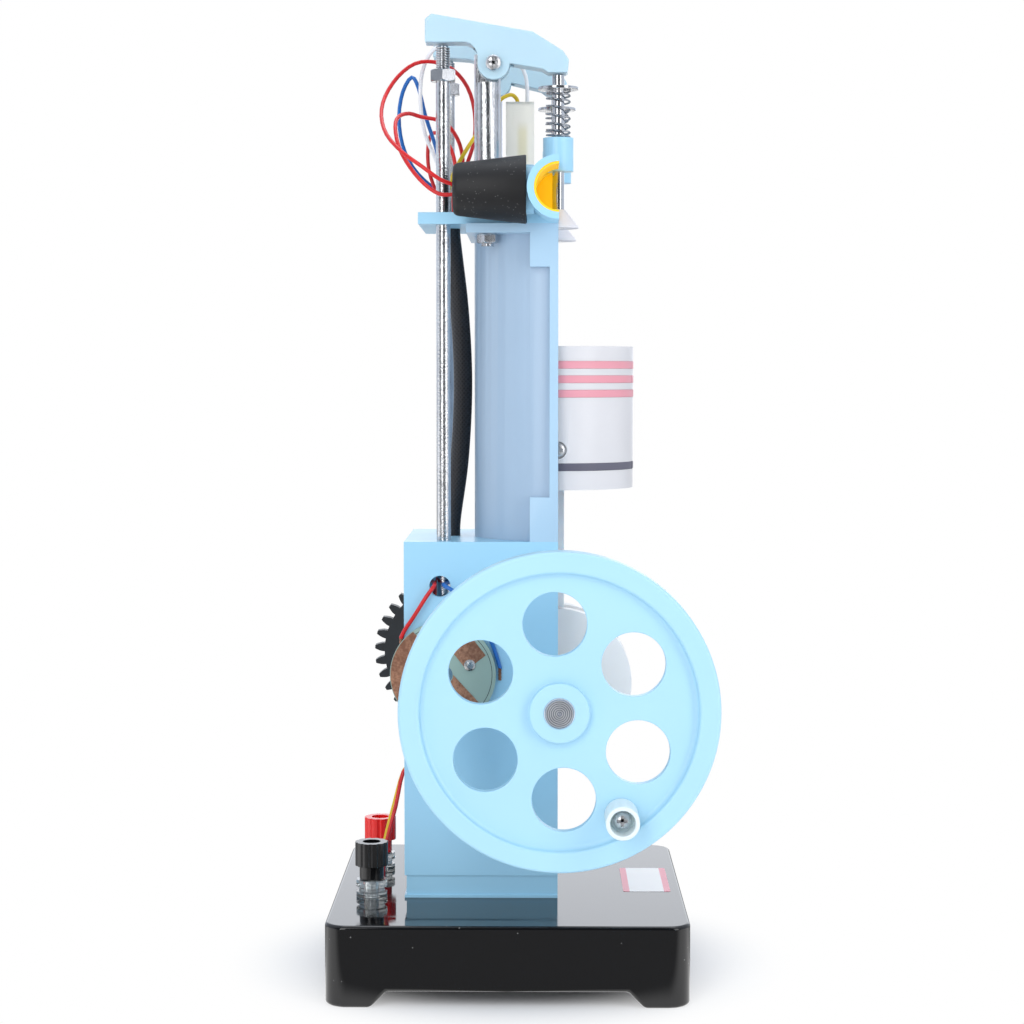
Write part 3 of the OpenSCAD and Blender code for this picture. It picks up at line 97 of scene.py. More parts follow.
world = bpy.data.worlds.new("studio")
world.use_nodes = True
tree = world.node_tree
tree.nodes.clear()
path = add_node(tree, "ShaderNodeLightPath")
look = add_node(tree, "ShaderNodeTexCoord")
parts = add_node(tree, "ShaderNodeSeparateXYZ", {0: look.outputs["Generated"]})
room = add_node(tree, "ShaderNodeMapRange", {"From Min": -0.75, "From Max": -0.1, "To Min": 0.1,
    "To Max": 1.0, "Value": parts.outputs["Y"]}, interpolation_type="SMOOTHSTEP")
lit = add_node(tree, "ShaderNodeMix", {"A": 0.71, "Factor": path.outputs["Is Glossy Ray"],
    "B": room.outputs[0]}, data_type="FLOAT")
seen = add_node(tree, "ShaderNodeMath", {0: path.outputs["Is Camera Ray"],
    1: path.outputs["Is Transmission Ray"]}, operation="MAXIMUM")
strength = add_node(tree, "ShaderNodeMix", {"B": 1.0, "Factor": seen.outputs[0],
    "A": lit.outputs["Result"]}, data_type="FLOAT")
cool = add_node(tree, "ShaderNodeMix", {"A": linear("#EAF2FF"), "B": linear("#FFFFFF"),
    "Factor": seen.outputs[0]}, data_type="RGBA")
sky = add_node(tree, "ShaderNodeBackground", {"Color": cool.outputs["Result"],
    "Strength": strength.outputs["Result"]})
add_node(tree, "ShaderNodeOutputWorld", {"Surface": sky.outputs[0]})
bpy.context.scene.world = world

for name, place, aim, width, height, power in (
        ("key_lamp", (-0.5, -1.25, 0.7), (0, 0, 0.28), 0.5, 1.3, 7.3),
        ("fill_lamp", (0.95, -0.95, 0.6), (0, 0, 0.26), 0.5, 1.2, 5.3),
        ("top_lamp", (0.1, 0.3, 1.5), (0, 0, 0.2), 1.0, 1.0, 5.5),
        ("back_panel", (0.05, 1.7, 0.5), (0, 0, 0.15), 1.5, 0.8, 3.5)):
    lamp = bpy.data.lights.new(name, "AREA")
    lamp.shape = "RECTANGLE"
    lamp.size = width
    lamp.size_y = height
    lamp.energy = power
    holder = bpy.data.objects.new(name, lamp)
    holder.location = place
    holder.rotation_euler = (Vector(aim) - Vector(place)).to_track_quat("-Z", "Y").to_euler()
    holder.visible_camera = False
    bpy.context.scene.collection.objects.link(holder)

floor_mesh = bpy.data.meshes.new("table_top")
floor_mesh.from_pydata([(-9, -9, 0), (9, -9, 0), (9, 9, 0), (-9, 9, 0)], [], [(0, 1, 2, 3)])
floor = bpy.data.objects.new("table_top", floor_mesh)
bpy.context.scene.collection.objects.link(floor)
table_paint, tree, spot = new_material("white_table_paint")
reach = add_node(tree, "ShaderNodeVectorMath", {0: spot}, operation="LENGTH")
fade = add_node(tree, "ShaderNodeMapRange", {"From Min": 0.06, "From Max": 0.125,
    "Value": reach.outputs["Value"]}, interpolation_type="SMOOTHSTEP")
paint = add_node(tree, "ShaderNodeBsdfDiffuse", {"Color": linear("#FAFAFA")})
white = add_node(tree, "ShaderNodeEmission", {"Color": linear("#FFFFFF"), "Strength": 1.0})
parts = add_node(tree, "ShaderNodeSeparateXYZ", {0: spot})
sideways = add_node(tree, "ShaderNodeMath", {0: parts.outputs["X"]}, operation="ABSOLUTE")
forward = add_node(tree, "ShaderNodeMath", {0: parts.outputs["Y"], 1: 0.07}, operation="ADD")
off_line = add_node(tree, "ShaderNodeMath", {0: forward.outputs[0]}, operation="ABSOLUTE")
slope = add_node(tree, "ShaderNodeMath", {0: off_line.outputs[0], 1: sideways.outputs[0]},
    operation="DIVIDE")
shine = add_node(tree, "ShaderNodeMapRange", {"From Min": 0.25, "From Max": 0.7, "To Min": 1.6,
    "To Max": 0.42, "Value": slope.outputs[0]}, interpolation_type="SMOOTHSTEP")
dim = add_node(tree, "ShaderNodeEmission", {"Color": linear("#FFFFFF"), "Strength": shine.outputs[0]})
path = add_node(tree, "ShaderNodeLightPath")
shown = add_node(tree, "ShaderNodeMath", {0: path.outputs["Is Camera Ray"],
    1: path.outputs["Is Transmission Ray"]}, operation="MAXIMUM")
amount = add_node(tree, "ShaderNodeMath", {0: shown.outputs[0], 1: fade.outputs[0]}, operation="MULTIPLY")
both = add_node(tree, "ShaderNodeMixShader", {0: amount.outputs[0], 1: paint.outputs[0],
    2: white.outputs[0]})
mirrored = add_node(tree, "ShaderNodeMixShader", {0: path.outputs["Is Glossy Ray"], 1: both.outputs[0],
    2: dim.outputs[0]})
floor_mesh.materials.append(finish_material(table_paint, mirrored))

# Wires: stranded copper in thin PVC insulation, soldered at the lamps and gathered in the sleeve.
# They were bent by hand, so each keeps the loops that it was left in.
MM = 0.001
ENGINE_X, ENGINE_Y = 20.5, 9
SLEEVE_X, GATHER_R = -25, 2.6
PLATE_TOP = 318.7
WIRE_D = 1.7


def pvc(name, colour, gloss):
    """Extruded PVC: even colour, a soft shine and the faint waviness that the extruder leaves, 4 mm long"""
    material, tree, spot = new_material(name)
    wave = add_node(tree, "ShaderNodeTexNoise", {"Scale": 250, "Detail": 2, "Vector": spot})
    value = add_node(tree, "ShaderNodeMapRange", {"To Min": 0.88, "To Max": 1.08,
        "Value": wave.outputs["Fac"]})
    shade = add_node(tree, "ShaderNodeHueSaturation", {"Color": linear(colour),
        "Value": value.outputs[0]})
    bump = add_node(tree, "ShaderNodeBump", {"Strength": 0.15, "Distance": 0.0002,
        "Height": wave.outputs["Fac"]})
    surface = add_node(tree, "ShaderNodeBsdfPrincipled",
        {"Roughness": gloss, "IOR": 1.53, "Base Color": shade.outputs["Color"],
        "Normal": bump.outputs["Normal"]})
    return finish_material(material, surface)


def smooth_route(points, steps):
    """Smooth route in metres through points in millimetres, with so many steps between each two"""
    route = []
    last = len(points) - 1
    for i in range(last):
        a = Vector(points[max(i - 1, 0)])
        b = Vector(points[i])
        c = Vector(points[i + 1])
        d = Vector(points[min(i + 2, last)])
        for k in range(steps):
            t = k / steps
            bend = (c - a) + t * ((2 * a - 5 * b + 4 * c - d) + t * (3 * b - a - 3 * c + d))
            route.append(b + 0.5 * t * bend)
    route.append(Vector(points[last]))
    return [p * MM for p in route]


def wire(name, points, material):
    """Insulated wire along a smooth route through points in millimetres, on the frame"""
    route = smooth_route(points, steps=3)
    line = bpy.data.curves.new(name, "CURVE")
    line.dimensions = "3D"
    line.bevel_depth = WIRE_D / 2 * MM
    line.bevel_resolution = 3
    line.use_fill_caps = True
    spline = line.splines.new("POLY")
    spline.points.add(len(route) - 1)
    for point, place in zip(spline.points, route):
        point.co = (*place, 1)
    spline.use_smooth = True
    line.materials.append(material)
    piece = bpy.data.objects.new(name, line)
    bpy.context.scene.collection.objects.link(piece)
    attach(piece, "frame")
    return piece


def sleeve_end(k, z):
    """Place of a wire at the sleeve's end, one of six on a circle, in millimetres"""
    turn = math.radians(60 * k)
    return (SLEEVE_X + GATHER_R * math.cos(turn), ENGINE_Y + GATHER_R * math.sin(turn), z)


BOOT_END_X, PORT_Z = -22.5, 326.8
BOOT_Y = {"near": -40, "far": 58}
CAM_X, CAM_Z = -27.2194, 127.4318
SLEEVE_LOW = 179.5
LEAD_ENDS = ((CAM_X - 17.5, -30.65, CAM_Z + 15), (CAM_X + 23.6, -30.65, CAM_Z + 2.5))
red_pvc = pvc("red_pvc", "#D81A1C", gloss=0.3)
blue_pvc = pvc("blue_pvc", "#1A69BA", gloss=0.3)
white_pvc = pvc("white_pvc", "#EFF0F2", gloss=0.3)
yellow_pvc = pvc("yellow_pvc", "#E7C417", gloss=0.3)
red_wires = [
    wire("red_wire_small_loop", [(BOOT_END_X, BOOT_Y["near"], PORT_Z - 2), (-28, -40, 325), (-34, -39, 329),
        (-40, -36, 336), (-45, -29, 345), (-47, -21, 354), (-46, -14, 359), (-42, -8, 361), (-37, -4, 360),
        (-30, -1, 359), (-25, 1, 356), (-21, 3, 349), (-20, 6, 340), sleeve_end(5, 330),
        sleeve_end(5, PLATE_TOP)], red_pvc),
    wire("red_wire_large_loop", [(BOOT_END_X, BOOT_Y["near"], PORT_Z + 2), (-28, -41, 331), (-35, -41, 336),
        (-43, -37, 342), (-50, -28, 350), (-53, -17, 359), (-52, -8, 368), (-47, -2, 377), (-40, 2, 383),
        (-32, 4, 384), (-24, 6, 381), (-18, 8, 374), (-15, 9, 364), (-15, 9, 352), (-18, 9, 342),
        sleeve_end(0, 330), sleeve_end(0, PLATE_TOP)], red_pvc),
    wire("red_wire_far_lamp", [(BOOT_END_X, BOOT_Y["far"], PORT_Z - 2), (-28, 56, 327), (-33, 50, 333),
        (-36, 42, 342), (-36, 34, 351), (-34, 26, 356), (-30, 20, 355), (-25, 15, 348), (-23, 13, 338),
        sleeve_end(1, 328), sleeve_end(1, PLATE_TOP)], red_pvc),
    wire("red_supply_lead", [sleeve_end(3, SLEEVE_LOW), sleeve_end(3, 172), (-32, 8, 160), (-36, 7, 120),
        (-38, 6, 95), (-41, 5, 85), (-46, 4, 80), (-49, 1, 66), (-53, -3, 50), (-54, -4, 40),
        (-54, -4, 33)], red_pvc),
    wire("red_brush_lead", [sleeve_end(4, SLEEVE_LOW), sleeve_end(4, 173), (-29, 0, 169), (-33, -9, 167),
        (-33, -18, 166), (-31, -26, 165), (-31, -31.7, 164), (-34, -32.7, 160), (-39, -32.7, 152),
        (-43, -31.1, 146), LEAD_ENDS[0]], red_pvc),
]
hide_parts("wires_red")
blue_wires = [
    wire("blue_wire_far_lamp", [(BOOT_END_X, BOOT_Y["far"], PORT_Z + 2), (-28, 56, 332), (-36, 50, 336),
        (-43, 40, 343), (-47, 30, 352), (-48, 22, 363), (-46, 17, 373), (-42, 15, 379), (-39, 14, 374),
        (-36, 13, 362), (-32, 13, 350), (-29, 13, 338), sleeve_end(2, 328), sleeve_end(2, PLATE_TOP)],
        blue_pvc),
    wire("blue_brush_lead", [sleeve_end(0, SLEEVE_LOW), sleeve_end(0, 173), (-20, 4, 169), (-20, -9, 167),
        (-20.5, -17, 166), (-24.5, -23.5, 165.3), (-26.6, -27, 164.8), (-26.6, -31.7, 164.5),
        (-21, -32.7, 161), (-14, -32.7, 153), (-9, -31.7, 145), (-6, -30.9, 138), (-3.8, -30.65, 131),
        LEAD_ENDS[1]], blue_pvc),
]
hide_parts("wires_blue")
white_wire = wire("white_spark_wire", [sleeve_end(3, PLATE_TOP), sleeve_end(3, 328), (-31, 9, 342),
    (-36, 8, 354), (-38, 8, 368), (-37, 8, 381), (-32, 8, 390), (-22, 8, 394), (-10, 9, 393), (0, 9, 388),
    (6, 9, 381), (7.5, 9, 374), (7.5, 9, 367.2)], white_pvc)
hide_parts("wires_white")
yellow_wires = [
    wire("yellow_spark_wire", [(3.5, 9, 367.2), (2.9, 9, 369.2), (0.5, 8, 370.7), (-4, 6, 368.2),
        (-9, 3, 361), (-14, 0, 353), (-19, -2, 345), (-24, 1, 336), sleeve_end(4, 327),
        sleeve_end(4, PLATE_TOP)], yellow_pvc),
    wire("yellow_supply_lead", [sleeve_end(2, SLEEVE_LOW), sleeve_end(2, 172), (-31, 13, 160),
        (-35, 12, 120), (-37, 11, 95), (-41, 9, 85), (-46, 8, 80), (-50, 5, 66), (-54, 2, 50),
        (-55, 1, 40), (-55, 1, 33)], yellow_pvc),
]
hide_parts("wires_yellow")

# Sleeve: a black varnished fibreglass tube that gathers the six lamp wires behind the cylinder.
# It is pushed through the head plate and the crankcase's top, and bows a little between them.
def ringed_mesh(name, rings, sharp=None, move=None):
    """Closed mesh through rings of points, smooth but for edges sharper than an angle in degrees"""
    work = bmesh.new()
    loops = [[work.verts.new(point) for point in ring] for ring in rings]
    count = len(loops[0])
    for low, high in zip(loops, loops[1:]):
        for k in range(count):
            work.faces.new((low[k], low[(k + 1) % count], high[(k + 1) % count], high[k]))
    work.faces.new(list(reversed(loops[0])))
    work.faces.new(loops[-1])
    bmesh.ops.recalc_face_normals(work, faces=work.faces)
    if move:
        work.transform(move)
    mesh = bpy.data.meshes.new(name)
    work.to_mesh(mesh)
    work.free()
    if sharp:
        mesh.shade_smooth()
        mesh.set_sharp_from_angle(angle=math.radians(sharp))
    return mesh


def sweep_mesh(name, route, radius, sides):
    """Round tube along a route in metres, with both ends closed"""
    rings = []
    across = Vector((0, 1, 0))
    for i, place in enumerate(route):
        along = (route[min(i + 1, len(route) - 1)] - route[max(i - 1, 0)]).normalized()
        across = (across - across.dot(along) * along).normalized()
        up = along.cross(across)
        ring = []
        for k in range(sides):
            turn = 2 * math.pi * k / sides
            ring.append(place + radius * (math.cos(turn) * across + math.sin(turn) * up))
        rings.append(ring)
    return ringed_mesh(name, rings, sharp=40)


def place_piece(name, mesh, material, body, replaced=()):
    """Puts a finished mesh in the scene on its body"""
    mesh.materials.clear()
    mesh.materials.append(material)
    piece = bpy.data.objects.new(name, mesh)
    bpy.context.scene.collection.objects.link(piece)
    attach(piece, body)
    if replaced:
        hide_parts(*replaced)
    return piece


def braided_sleeve():
    """Varnished braid: black, half gloss, with a diamond weave of 1.2 mm under the varnish"""
    material, tree, spot = new_material("varnished_fibreglass_sleeve")
    waves = []
    for tilt in (0.9, -0.9):
        turned = add_node(tree, "ShaderNodeMapping", {"Rotation": (0, tilt, 0), "Vector": spot})
        waves.append(add_node(tree, "ShaderNodeTexWave", {"Scale": 260, "Distortion": 0.6,
            "Vector": turned.outputs[0]}, bands_direction="Z"))
    weave = add_node(tree, "ShaderNodeMath", {0: waves[0].outputs["Fac"], 1: waves[1].outputs["Fac"]},
        operation="MAXIMUM")
    shade = add_node(tree, "ShaderNodeMix", {"A": linear("#0C0C0E"), "B": linear("#26262A"),
        "Factor": weave.outputs[0]}, data_type="RGBA")
    bump = add_node(tree, "ShaderNodeBump", {"Strength": 0.4, "Distance": 0.0003,
        "Height": weave.outputs[0]})
    surface = add_node(tree, "ShaderNodeBsdfPrincipled",
        {"Roughness": 0.38, "Base Color": shade.outputs["Result"], "Normal": bump.outputs["Normal"]})
    return finish_material(material, surface)


sleeve_route = smooth_route([(SLEEVE_X, ENGINE_Y, PLATE_TOP), (SLEEVE_X, ENGINE_Y, PLATE_TOP - 8),
    (SLEEVE_X + 3.5, ENGINE_Y, 280), (SLEEVE_X + 5, ENGINE_Y, 248), (SLEEVE_X + 3.5, ENGINE_Y, 216),
    (SLEEVE_X, ENGINE_Y, SLEEVE_LOW + 10), (SLEEVE_X, ENGINE_Y, SLEEVE_LOW)], steps=8)
sleeve_tube = sweep_mesh("wire_sleeve", sleeve_route, radius=4 * MM, sides=24)
place_piece("wire_sleeve", sleeve_tube, braided_sleeve(), "frame", ["sleeve"])


def rounded_copy(node, width, segments=2, share=None, angle=35):
    """Copy of a solid, its sharp edges rounded by a width in millimetres or by an edge's share of it"""
    work = bmesh.new()
    work.from_mesh(nodes[node].data)
    bmesh.ops.remove_doubles(work, verts=work.verts, dist=0.000002)
    bmesh.ops.dissolve_limit(work, angle_limit=math.radians(0.5), verts=work.verts, edges=work.edges)
    weight = work.edges.layers.float.new("bevel_weight_edge")
    for edge in work.edges:
        if len(edge.link_faces) != 2 or edge.calc_face_angle(0) < math.radians(angle):
            continue
        middle = (edge.verts[0].co + edge.verts[1].co) / 2 / MM
        edge[weight] = 1.0 if share is None else share(middle)
    mesh = bpy.data.meshes.new(node + "_rounded")
    work.to_mesh(mesh)
    work.free()
    mesh.shade_smooth()
    mesh.set_sharp_from_angle(angle=math.radians(angle))
    rough = bpy.data.objects.new(node + "_rounded", mesh)
    bpy.context.scene.collection.objects.link(rough)
    bevel = rough.modifiers.new("bevel", "BEVEL")
    bevel.width = width * MM
    bevel.segments = segments
    bevel.limit_method = "WEIGHT"
    bevel.harden_normals = True
    ready = bpy.data.meshes.new_from_object(rough.evaluated_get(bpy.context.evaluated_depsgraph_get()))
    bpy.data.objects.remove(rough)
    ready.name = node + "_moulding"
    return ready


def black_polystyrene():
    """Polished black polystyrene: deep gloss, wiped smudges of 30 mm on top, pale dust of 0.6 mm"""
    material, tree, spot = new_material("black_polystyrene")
    wiped = add_node(tree, "ShaderNodeMapping", {"Rotation": (0, 0, 0.6), "Scale": (1.0, 2.8, 1.0),
        "Vector": spot})
    smear = add_node(tree, "ShaderNodeTexNoise", {"Scale": 33, "Detail": 5, "Distortion": 1.0,
        "Vector": wiped.outputs[0]})
    smudge = add_node(tree, "ShaderNodeMapRange", {"From Min": 0.48, "From Max": 0.72,
        "Value": smear.outputs["Fac"]})
    gloss = add_node(tree, "ShaderNodeMapRange", {"To Min": 0.05, "To Max": 0.13,
        "Value": smudge.outputs[0]})
    facing = add_node(tree, "ShaderNodeNewGeometry")
    parts = add_node(tree, "ShaderNodeSeparateXYZ", {0: facing.outputs["Normal"]})
    upward = add_node(tree, "ShaderNodeMath", {0: parts.outputs["Z"], 1: 0.7}, operation="GREATER_THAN")
    specks = add_node(tree, "ShaderNodeTexVoronoi", {"Scale": 330, "Vector": spot})
    near_speck = add_node(tree, "ShaderNodeMath", {0: specks.outputs["Distance"], 1: 0.1},
        operation="LESS_THAN")
    some = add_node(tree, "ShaderNodeTexNoise", {"Scale": 60, "Vector": spot})
    chosen = add_node(tree, "ShaderNodeMath", {0: some.outputs["Fac"], 1: 0.59}, operation="GREATER_THAN")
    dust = add_node(tree, "ShaderNodeMath", {0: near_speck.outputs[0], 1: chosen.outputs[0]},
        operation="MULTIPLY")
    faint = add_node(tree, "ShaderNodeMath", {0: dust.outputs[0], 1: 0.3}, operation="MULTIPLY")
    film = add_node(tree, "ShaderNodeMath", {0: smudge.outputs[0], 1: upward.outputs[0]},
        operation="MULTIPLY")
    thin = add_node(tree, "ShaderNodeMath", {0: film.outputs[0], 1: 0.025}, operation="MULTIPLY")
    cover = add_node(tree, "ShaderNodeMath", {0: faint.outputs[0], 1: thin.outputs[0]},
        operation="MAXIMUM")
    shade = add_node(tree, "ShaderNodeMix", {"A": linear("#0B0B0D"), "B": linear("#B9B9B4"),
        "Factor": cover.outputs[0]}, data_type="RGBA")
    surface = add_node(tree, "ShaderNodeBsdfPrincipled",
        {"IOR": 1.46, "Base Color": shade.outputs["Result"], "Roughness": gloss.outputs[0]})
    return finish_material(material, surface)


def base_outer_edge(p):
    """Share of the rounding: full on the outer edges of the top and of the feet, none inside"""
    outside = abs(p.x) > OUTER_X or abs(p.y) > OUTER_Y
    return 1.0 if outside and (p.z > TOP_EDGE_Z or p.z < FEET_EDGE_Z) else 0.0


OUTER_X, OUTER_Y = 62, 67
TOP_EDGE_Z, FEET_EDGE_Z = 32.5, 7
base_shell = rounded_copy("base", width=2.0, segments=4, share=base_outer_edge)
place_piece("base_moulding", base_shell, black_polystyrene(), "frame", ["base"])

# Label: a blank white paper sticker with a pink band along each long side, stuck on the base's front half.
# It is cut with rounded corners and lies flat on the gloss.
def sticker(name, x0, x1, y0, y1, z, thickness, corner):
    """Flat sticker with rounded corners, in millimetres"""
    outline = []
    for cx, cy, start in ((x1 - corner, y1 - corner, 0), (x0 + corner, y1 - corner, 90),
            (x0 + corner, y0 + corner, 180), (x1 - corner, y0 + corner, 270)):
        for k in range(5):
            turn = math.radians(start + 22.5 * k)
            outline.append((cx + corner * math.cos(turn), cy + corner * math.sin(turn)))
    return ringed_mesh(name, [[Vector((x, y, h)) * MM for x, y in outline] for h in (z, z + thickness)])


def label_paper():
    """Coated label paper: white with pink side bands, a faint fibre grain of 0.5 mm and a low shine"""
    material, tree, spot = new_material("coated_label_paper")
    parts = add_node(tree, "ShaderNodeSeparateXYZ", {0: spot})
    off_middle = add_node(tree, "ShaderNodeMath", {0: parts.outputs["X"], 1: LABEL_X * MM},
        operation="SUBTRACT")
    away = add_node(tree, "ShaderNodeMath", {0: off_middle.outputs[0]}, operation="ABSOLUTE")
    band = add_node(tree, "ShaderNodeMath", {0: away.outputs[0], 1: WHITE_HALF * MM},
        operation="GREATER_THAN")
    grain = add_node(tree, "ShaderNodeTexNoise", {"Scale": 2000, "Vector": spot})
    shade = add_node(tree, "ShaderNodeMix", {"A": linear("#F6F4F2"), "B": linear("#F2A3AE"),
        "Factor": band.outputs[0]}, data_type="RGBA")
    bump = add_node(tree, "ShaderNodeBump", {"Strength": 0.08, "Distance": 0.0001,
        "Height": grain.outputs["Fac"]})
    surface = add_node(tree, "ShaderNodeBsdfPrincipled",
        {"Roughness": 0.45, "Base Color": shade.outputs["Result"], "Normal": bump.outputs["Normal"]})
    return finish_material(material, surface)


LABEL_X, WHITE_HALF = 58.5, 7.3
label = sticker("blank_label", x0=48.5, x1=68.5, y0=-17.4, y1=27.7, z=33.01, thickness=0.12, corner=1.2)
place_piece("blank_label", label, label_paper(), "frame")

# Crankcase and plinth: light-blue ABS mouldings, satin, glued together and screwed to the base.
# The case is a box that is open at the front, so that the crank shows.
def moulded_abs(name, colour, gloss=0.32, glow=0.0, tint=None):
    """Moulded ABS: even satin colour, slow drifts of shade over 40 mm, texture of 0.6 mm from the mould"""
    material, tree, spot = new_material(name)
    drift = add_node(tree, "ShaderNodeTexNoise", {"Scale": 25, "Detail": 3, "Vector": spot})
    grain = add_node(tree, "ShaderNodeTexNoise", {"Scale": 1600, "Detail": 2, "Vector": spot})
    value = add_node(tree, "ShaderNodeMapRange", {"To Min": 0.96, "To Max": 1.03,
        "Value": drift.outputs["Fac"]})
    shade = add_node(tree, "ShaderNodeHueSaturation", {"Color": linear(colour),
        "Value": value.outputs[0]})
    if tint:
        tree.links.new(tint(tree, spot, colour), shade.inputs["Color"])
    dull = add_node(tree, "ShaderNodeMapRange", {"To Min": gloss - 0.06, "To Max": gloss + 0.08,
        "Value": drift.outputs["Fac"]})
    bump = add_node(tree, "ShaderNodeBump", {"Strength": 0.06, "Distance": 0.0001,
        "Height": grain.outputs["Fac"]})
    surface = add_node(tree, "ShaderNodeBsdfPrincipled",
        {"IOR": 1.54, "Subsurface Weight": glow, "Subsurface Radius": (0.0025, 0.004, 0.005),
        "Subsurface Scale": 1.0, "Base Color": shade.outputs["Color"], "Roughness": dull.outputs[0],
        "Normal": bump.outputs["Normal"]})
    return finish_material(material, surface)


blue_abs = moulded_abs("light_blue_abs", "#A4D7F0")
case = rounded_copy("crankcase", width=0.6)
place_piece("crankcase_moulding", case, blue_abs, "frame", ["crankcase"])
plinth = rounded_copy("case_plinth", width=0.4)
place_piece("plinth_moulding", plinth, blue_abs, "frame", ["case_plinth"])

# Half cylinder and head plate: the cylinder is an ABS moulding, open along its middle, on pins in the case.
# Its shell is the same light-blue ABS as the strips, lugs and flange that stiffen it, with painted shade in a
# greyer lavender laid on it.
# The head plate is light-blue sheet on top of the flange, held by the rocker posts' studs.
def painted_shade_on_shell(tree, position, colour):
    """Painted shade, a greyer lavender, on the shell below the flange and behind the strips, and the given
    colour elsewhere
    """
    centred = add_node(tree, "ShaderNodeMapping", {"Location": (-ENGINE_X * MM, -ENGINE_Y * MM, 0),
        "Scale": (1, 1, 0), "Vector": position})
    reach = add_node(tree, "ShaderNodeVectorMath", {0: centred.outputs[0]}, operation="LENGTH")
    inside = add_node(tree, "ShaderNodeMath", {0: reach.outputs["Value"], 1: SHELL_R * MM},
        operation="LESS_THAN")
    parts = add_node(tree, "ShaderNodeSeparateXYZ", {0: position})
    below = add_node(tree, "ShaderNodeMath", {0: parts.outputs["Z"], 1: FLANGE_Z * MM},
        operation="LESS_THAN")
    behind = add_node(tree, "ShaderNodeMath", {0: parts.outputs["X"], 1: STRIP_X * MM},
        operation="LESS_THAN")
    shell = add_node(tree, "ShaderNodeMath", {0: inside.outputs[0], 1: below.outputs[0]},
        operation="MULTIPLY")
    masked = add_node(tree, "ShaderNodeMath", {0: shell.outputs[0], 1: behind.outputs[0]},
        operation="MULTIPLY")
    # painted shade: the whole shell is mixed to a greyer lavender, standing in for the light it turns away
    # from
    mixed = add_node(tree, "ShaderNodeMix", {"A": linear(colour), "B": linear("#A7BED3"),
        "Factor": masked.outputs[0]}, data_type="RGBA")
    return mixed.outputs["Result"]


SHELL_R, FLANGE_Z, STRIP_X = 35.7, 310, 16.9
# the cylinder's ABS carries painted shade on its shell
cylinder_abs = moulded_abs("blue_abs_with_painted_shade", "#AFCFE5", gloss=0.3, glow=0.0, tint=painted_shade_on_shell)
cylinder = rounded_copy("half_cylinder", width=0.5)
place_piece("half_cylinder_moulding", cylinder, cylinder_abs, "frame", ["half_cylinder"])
plate = rounded_copy("head_plate", width=0.8, segments=3)
place_piece("head_plate_sheet", plate, blue_abs, "frame", ["head_plate"])

# Ports: two half pipes of the same ABS, with a printed lining that shows the gas.
# The near one is lined in yellow film, given a faint painted glow that stands in for light through it from
# its socket.
# Each carries its valve's guide and a lamp behind it.
for node in ("port_near", "port_far"):
    place_piece(f"{node}_moulding", rounded_copy(node, width=0.3), blue_abs, "frame", [node])


def finish_node(node, material):
    """Gives a solid that is shown as it is its material"""
    nodes[node].data.materials.clear()
    nodes[node].data.materials.append(material)


def half_disc(name, y0, y1, radius):
    """Half disc across a port, behind the cut face, between two places along the port in millimetres"""
    steps = 32
    rings = []
    for y in (y0, y1):
        ring = []
        for k in range(steps + 1):
            turn = math.radians(90 + 180 * k / steps)
            ring.append(Vector((ENGINE_X + radius * math.cos(turn), y,
                PORT_Z + radius * math.sin(turn))) * MM)
        rings.append(ring)
    return ringed_mesh(name, rings)


yellow_film = moulded_abs("yellow_printed_film", "#FFCE00", gloss=0.45)
# painted light: the yellow film is given a faint yellow glow, though it is no lamp
painted_glow_inputs = yellow_film.node_tree.nodes["Principled BSDF"].inputs
painted_glow_inputs["Emission Color"].default_value = linear("#E6B400")
painted_glow_inputs["Emission Strength"].default_value = 0.22
blue_film = moulded_abs("blue_printed_film", "#4F8FD8", gloss=0.45)
PORT_END = 16.8
FILM_GAP, FILM_THICK = 0.05, 0.3
for side, out, film in (("near", -1, yellow_film), ("far", 1, blue_film)):
    finish_node(f"liner_{side}", film)
    end_y = ENGINE_Y + out * (PORT_END + FILM_GAP)
    disc = half_disc(f"liner_end_{side}", end_y, end_y + out * FILM_THICK, radius=9.2)
    place_piece(f"liner_end_{side}", disc, film, "frame")

# Boots: smooth conical caps of black rubber, pushed over the lamp sockets, with a rounded closed end.
# The lamps' wires come out of the closed end.
def lathe(name, profile, centre, axis, sides=64):
    """Body of revolution from pairs of height and radius in millimetres, round an axis through a centre"""
    rings = []
    for height, radius in profile:
        ring = []
        for k in range(sides):
            turn = 2 * math.pi * k / sides
            ring.append((radius * math.cos(turn), radius * math.sin(turn), height))
        rings.append(ring)
    aim = Vector((0, 0, 1)).rotation_difference(Vector(axis)).to_matrix().to_4x4()
    move = Matrix.Translation(Vector(centre) * MM) @ aim @ Matrix.Scale(MM, 4)
    return ringed_mesh(name, rings, sharp=38, move=move)


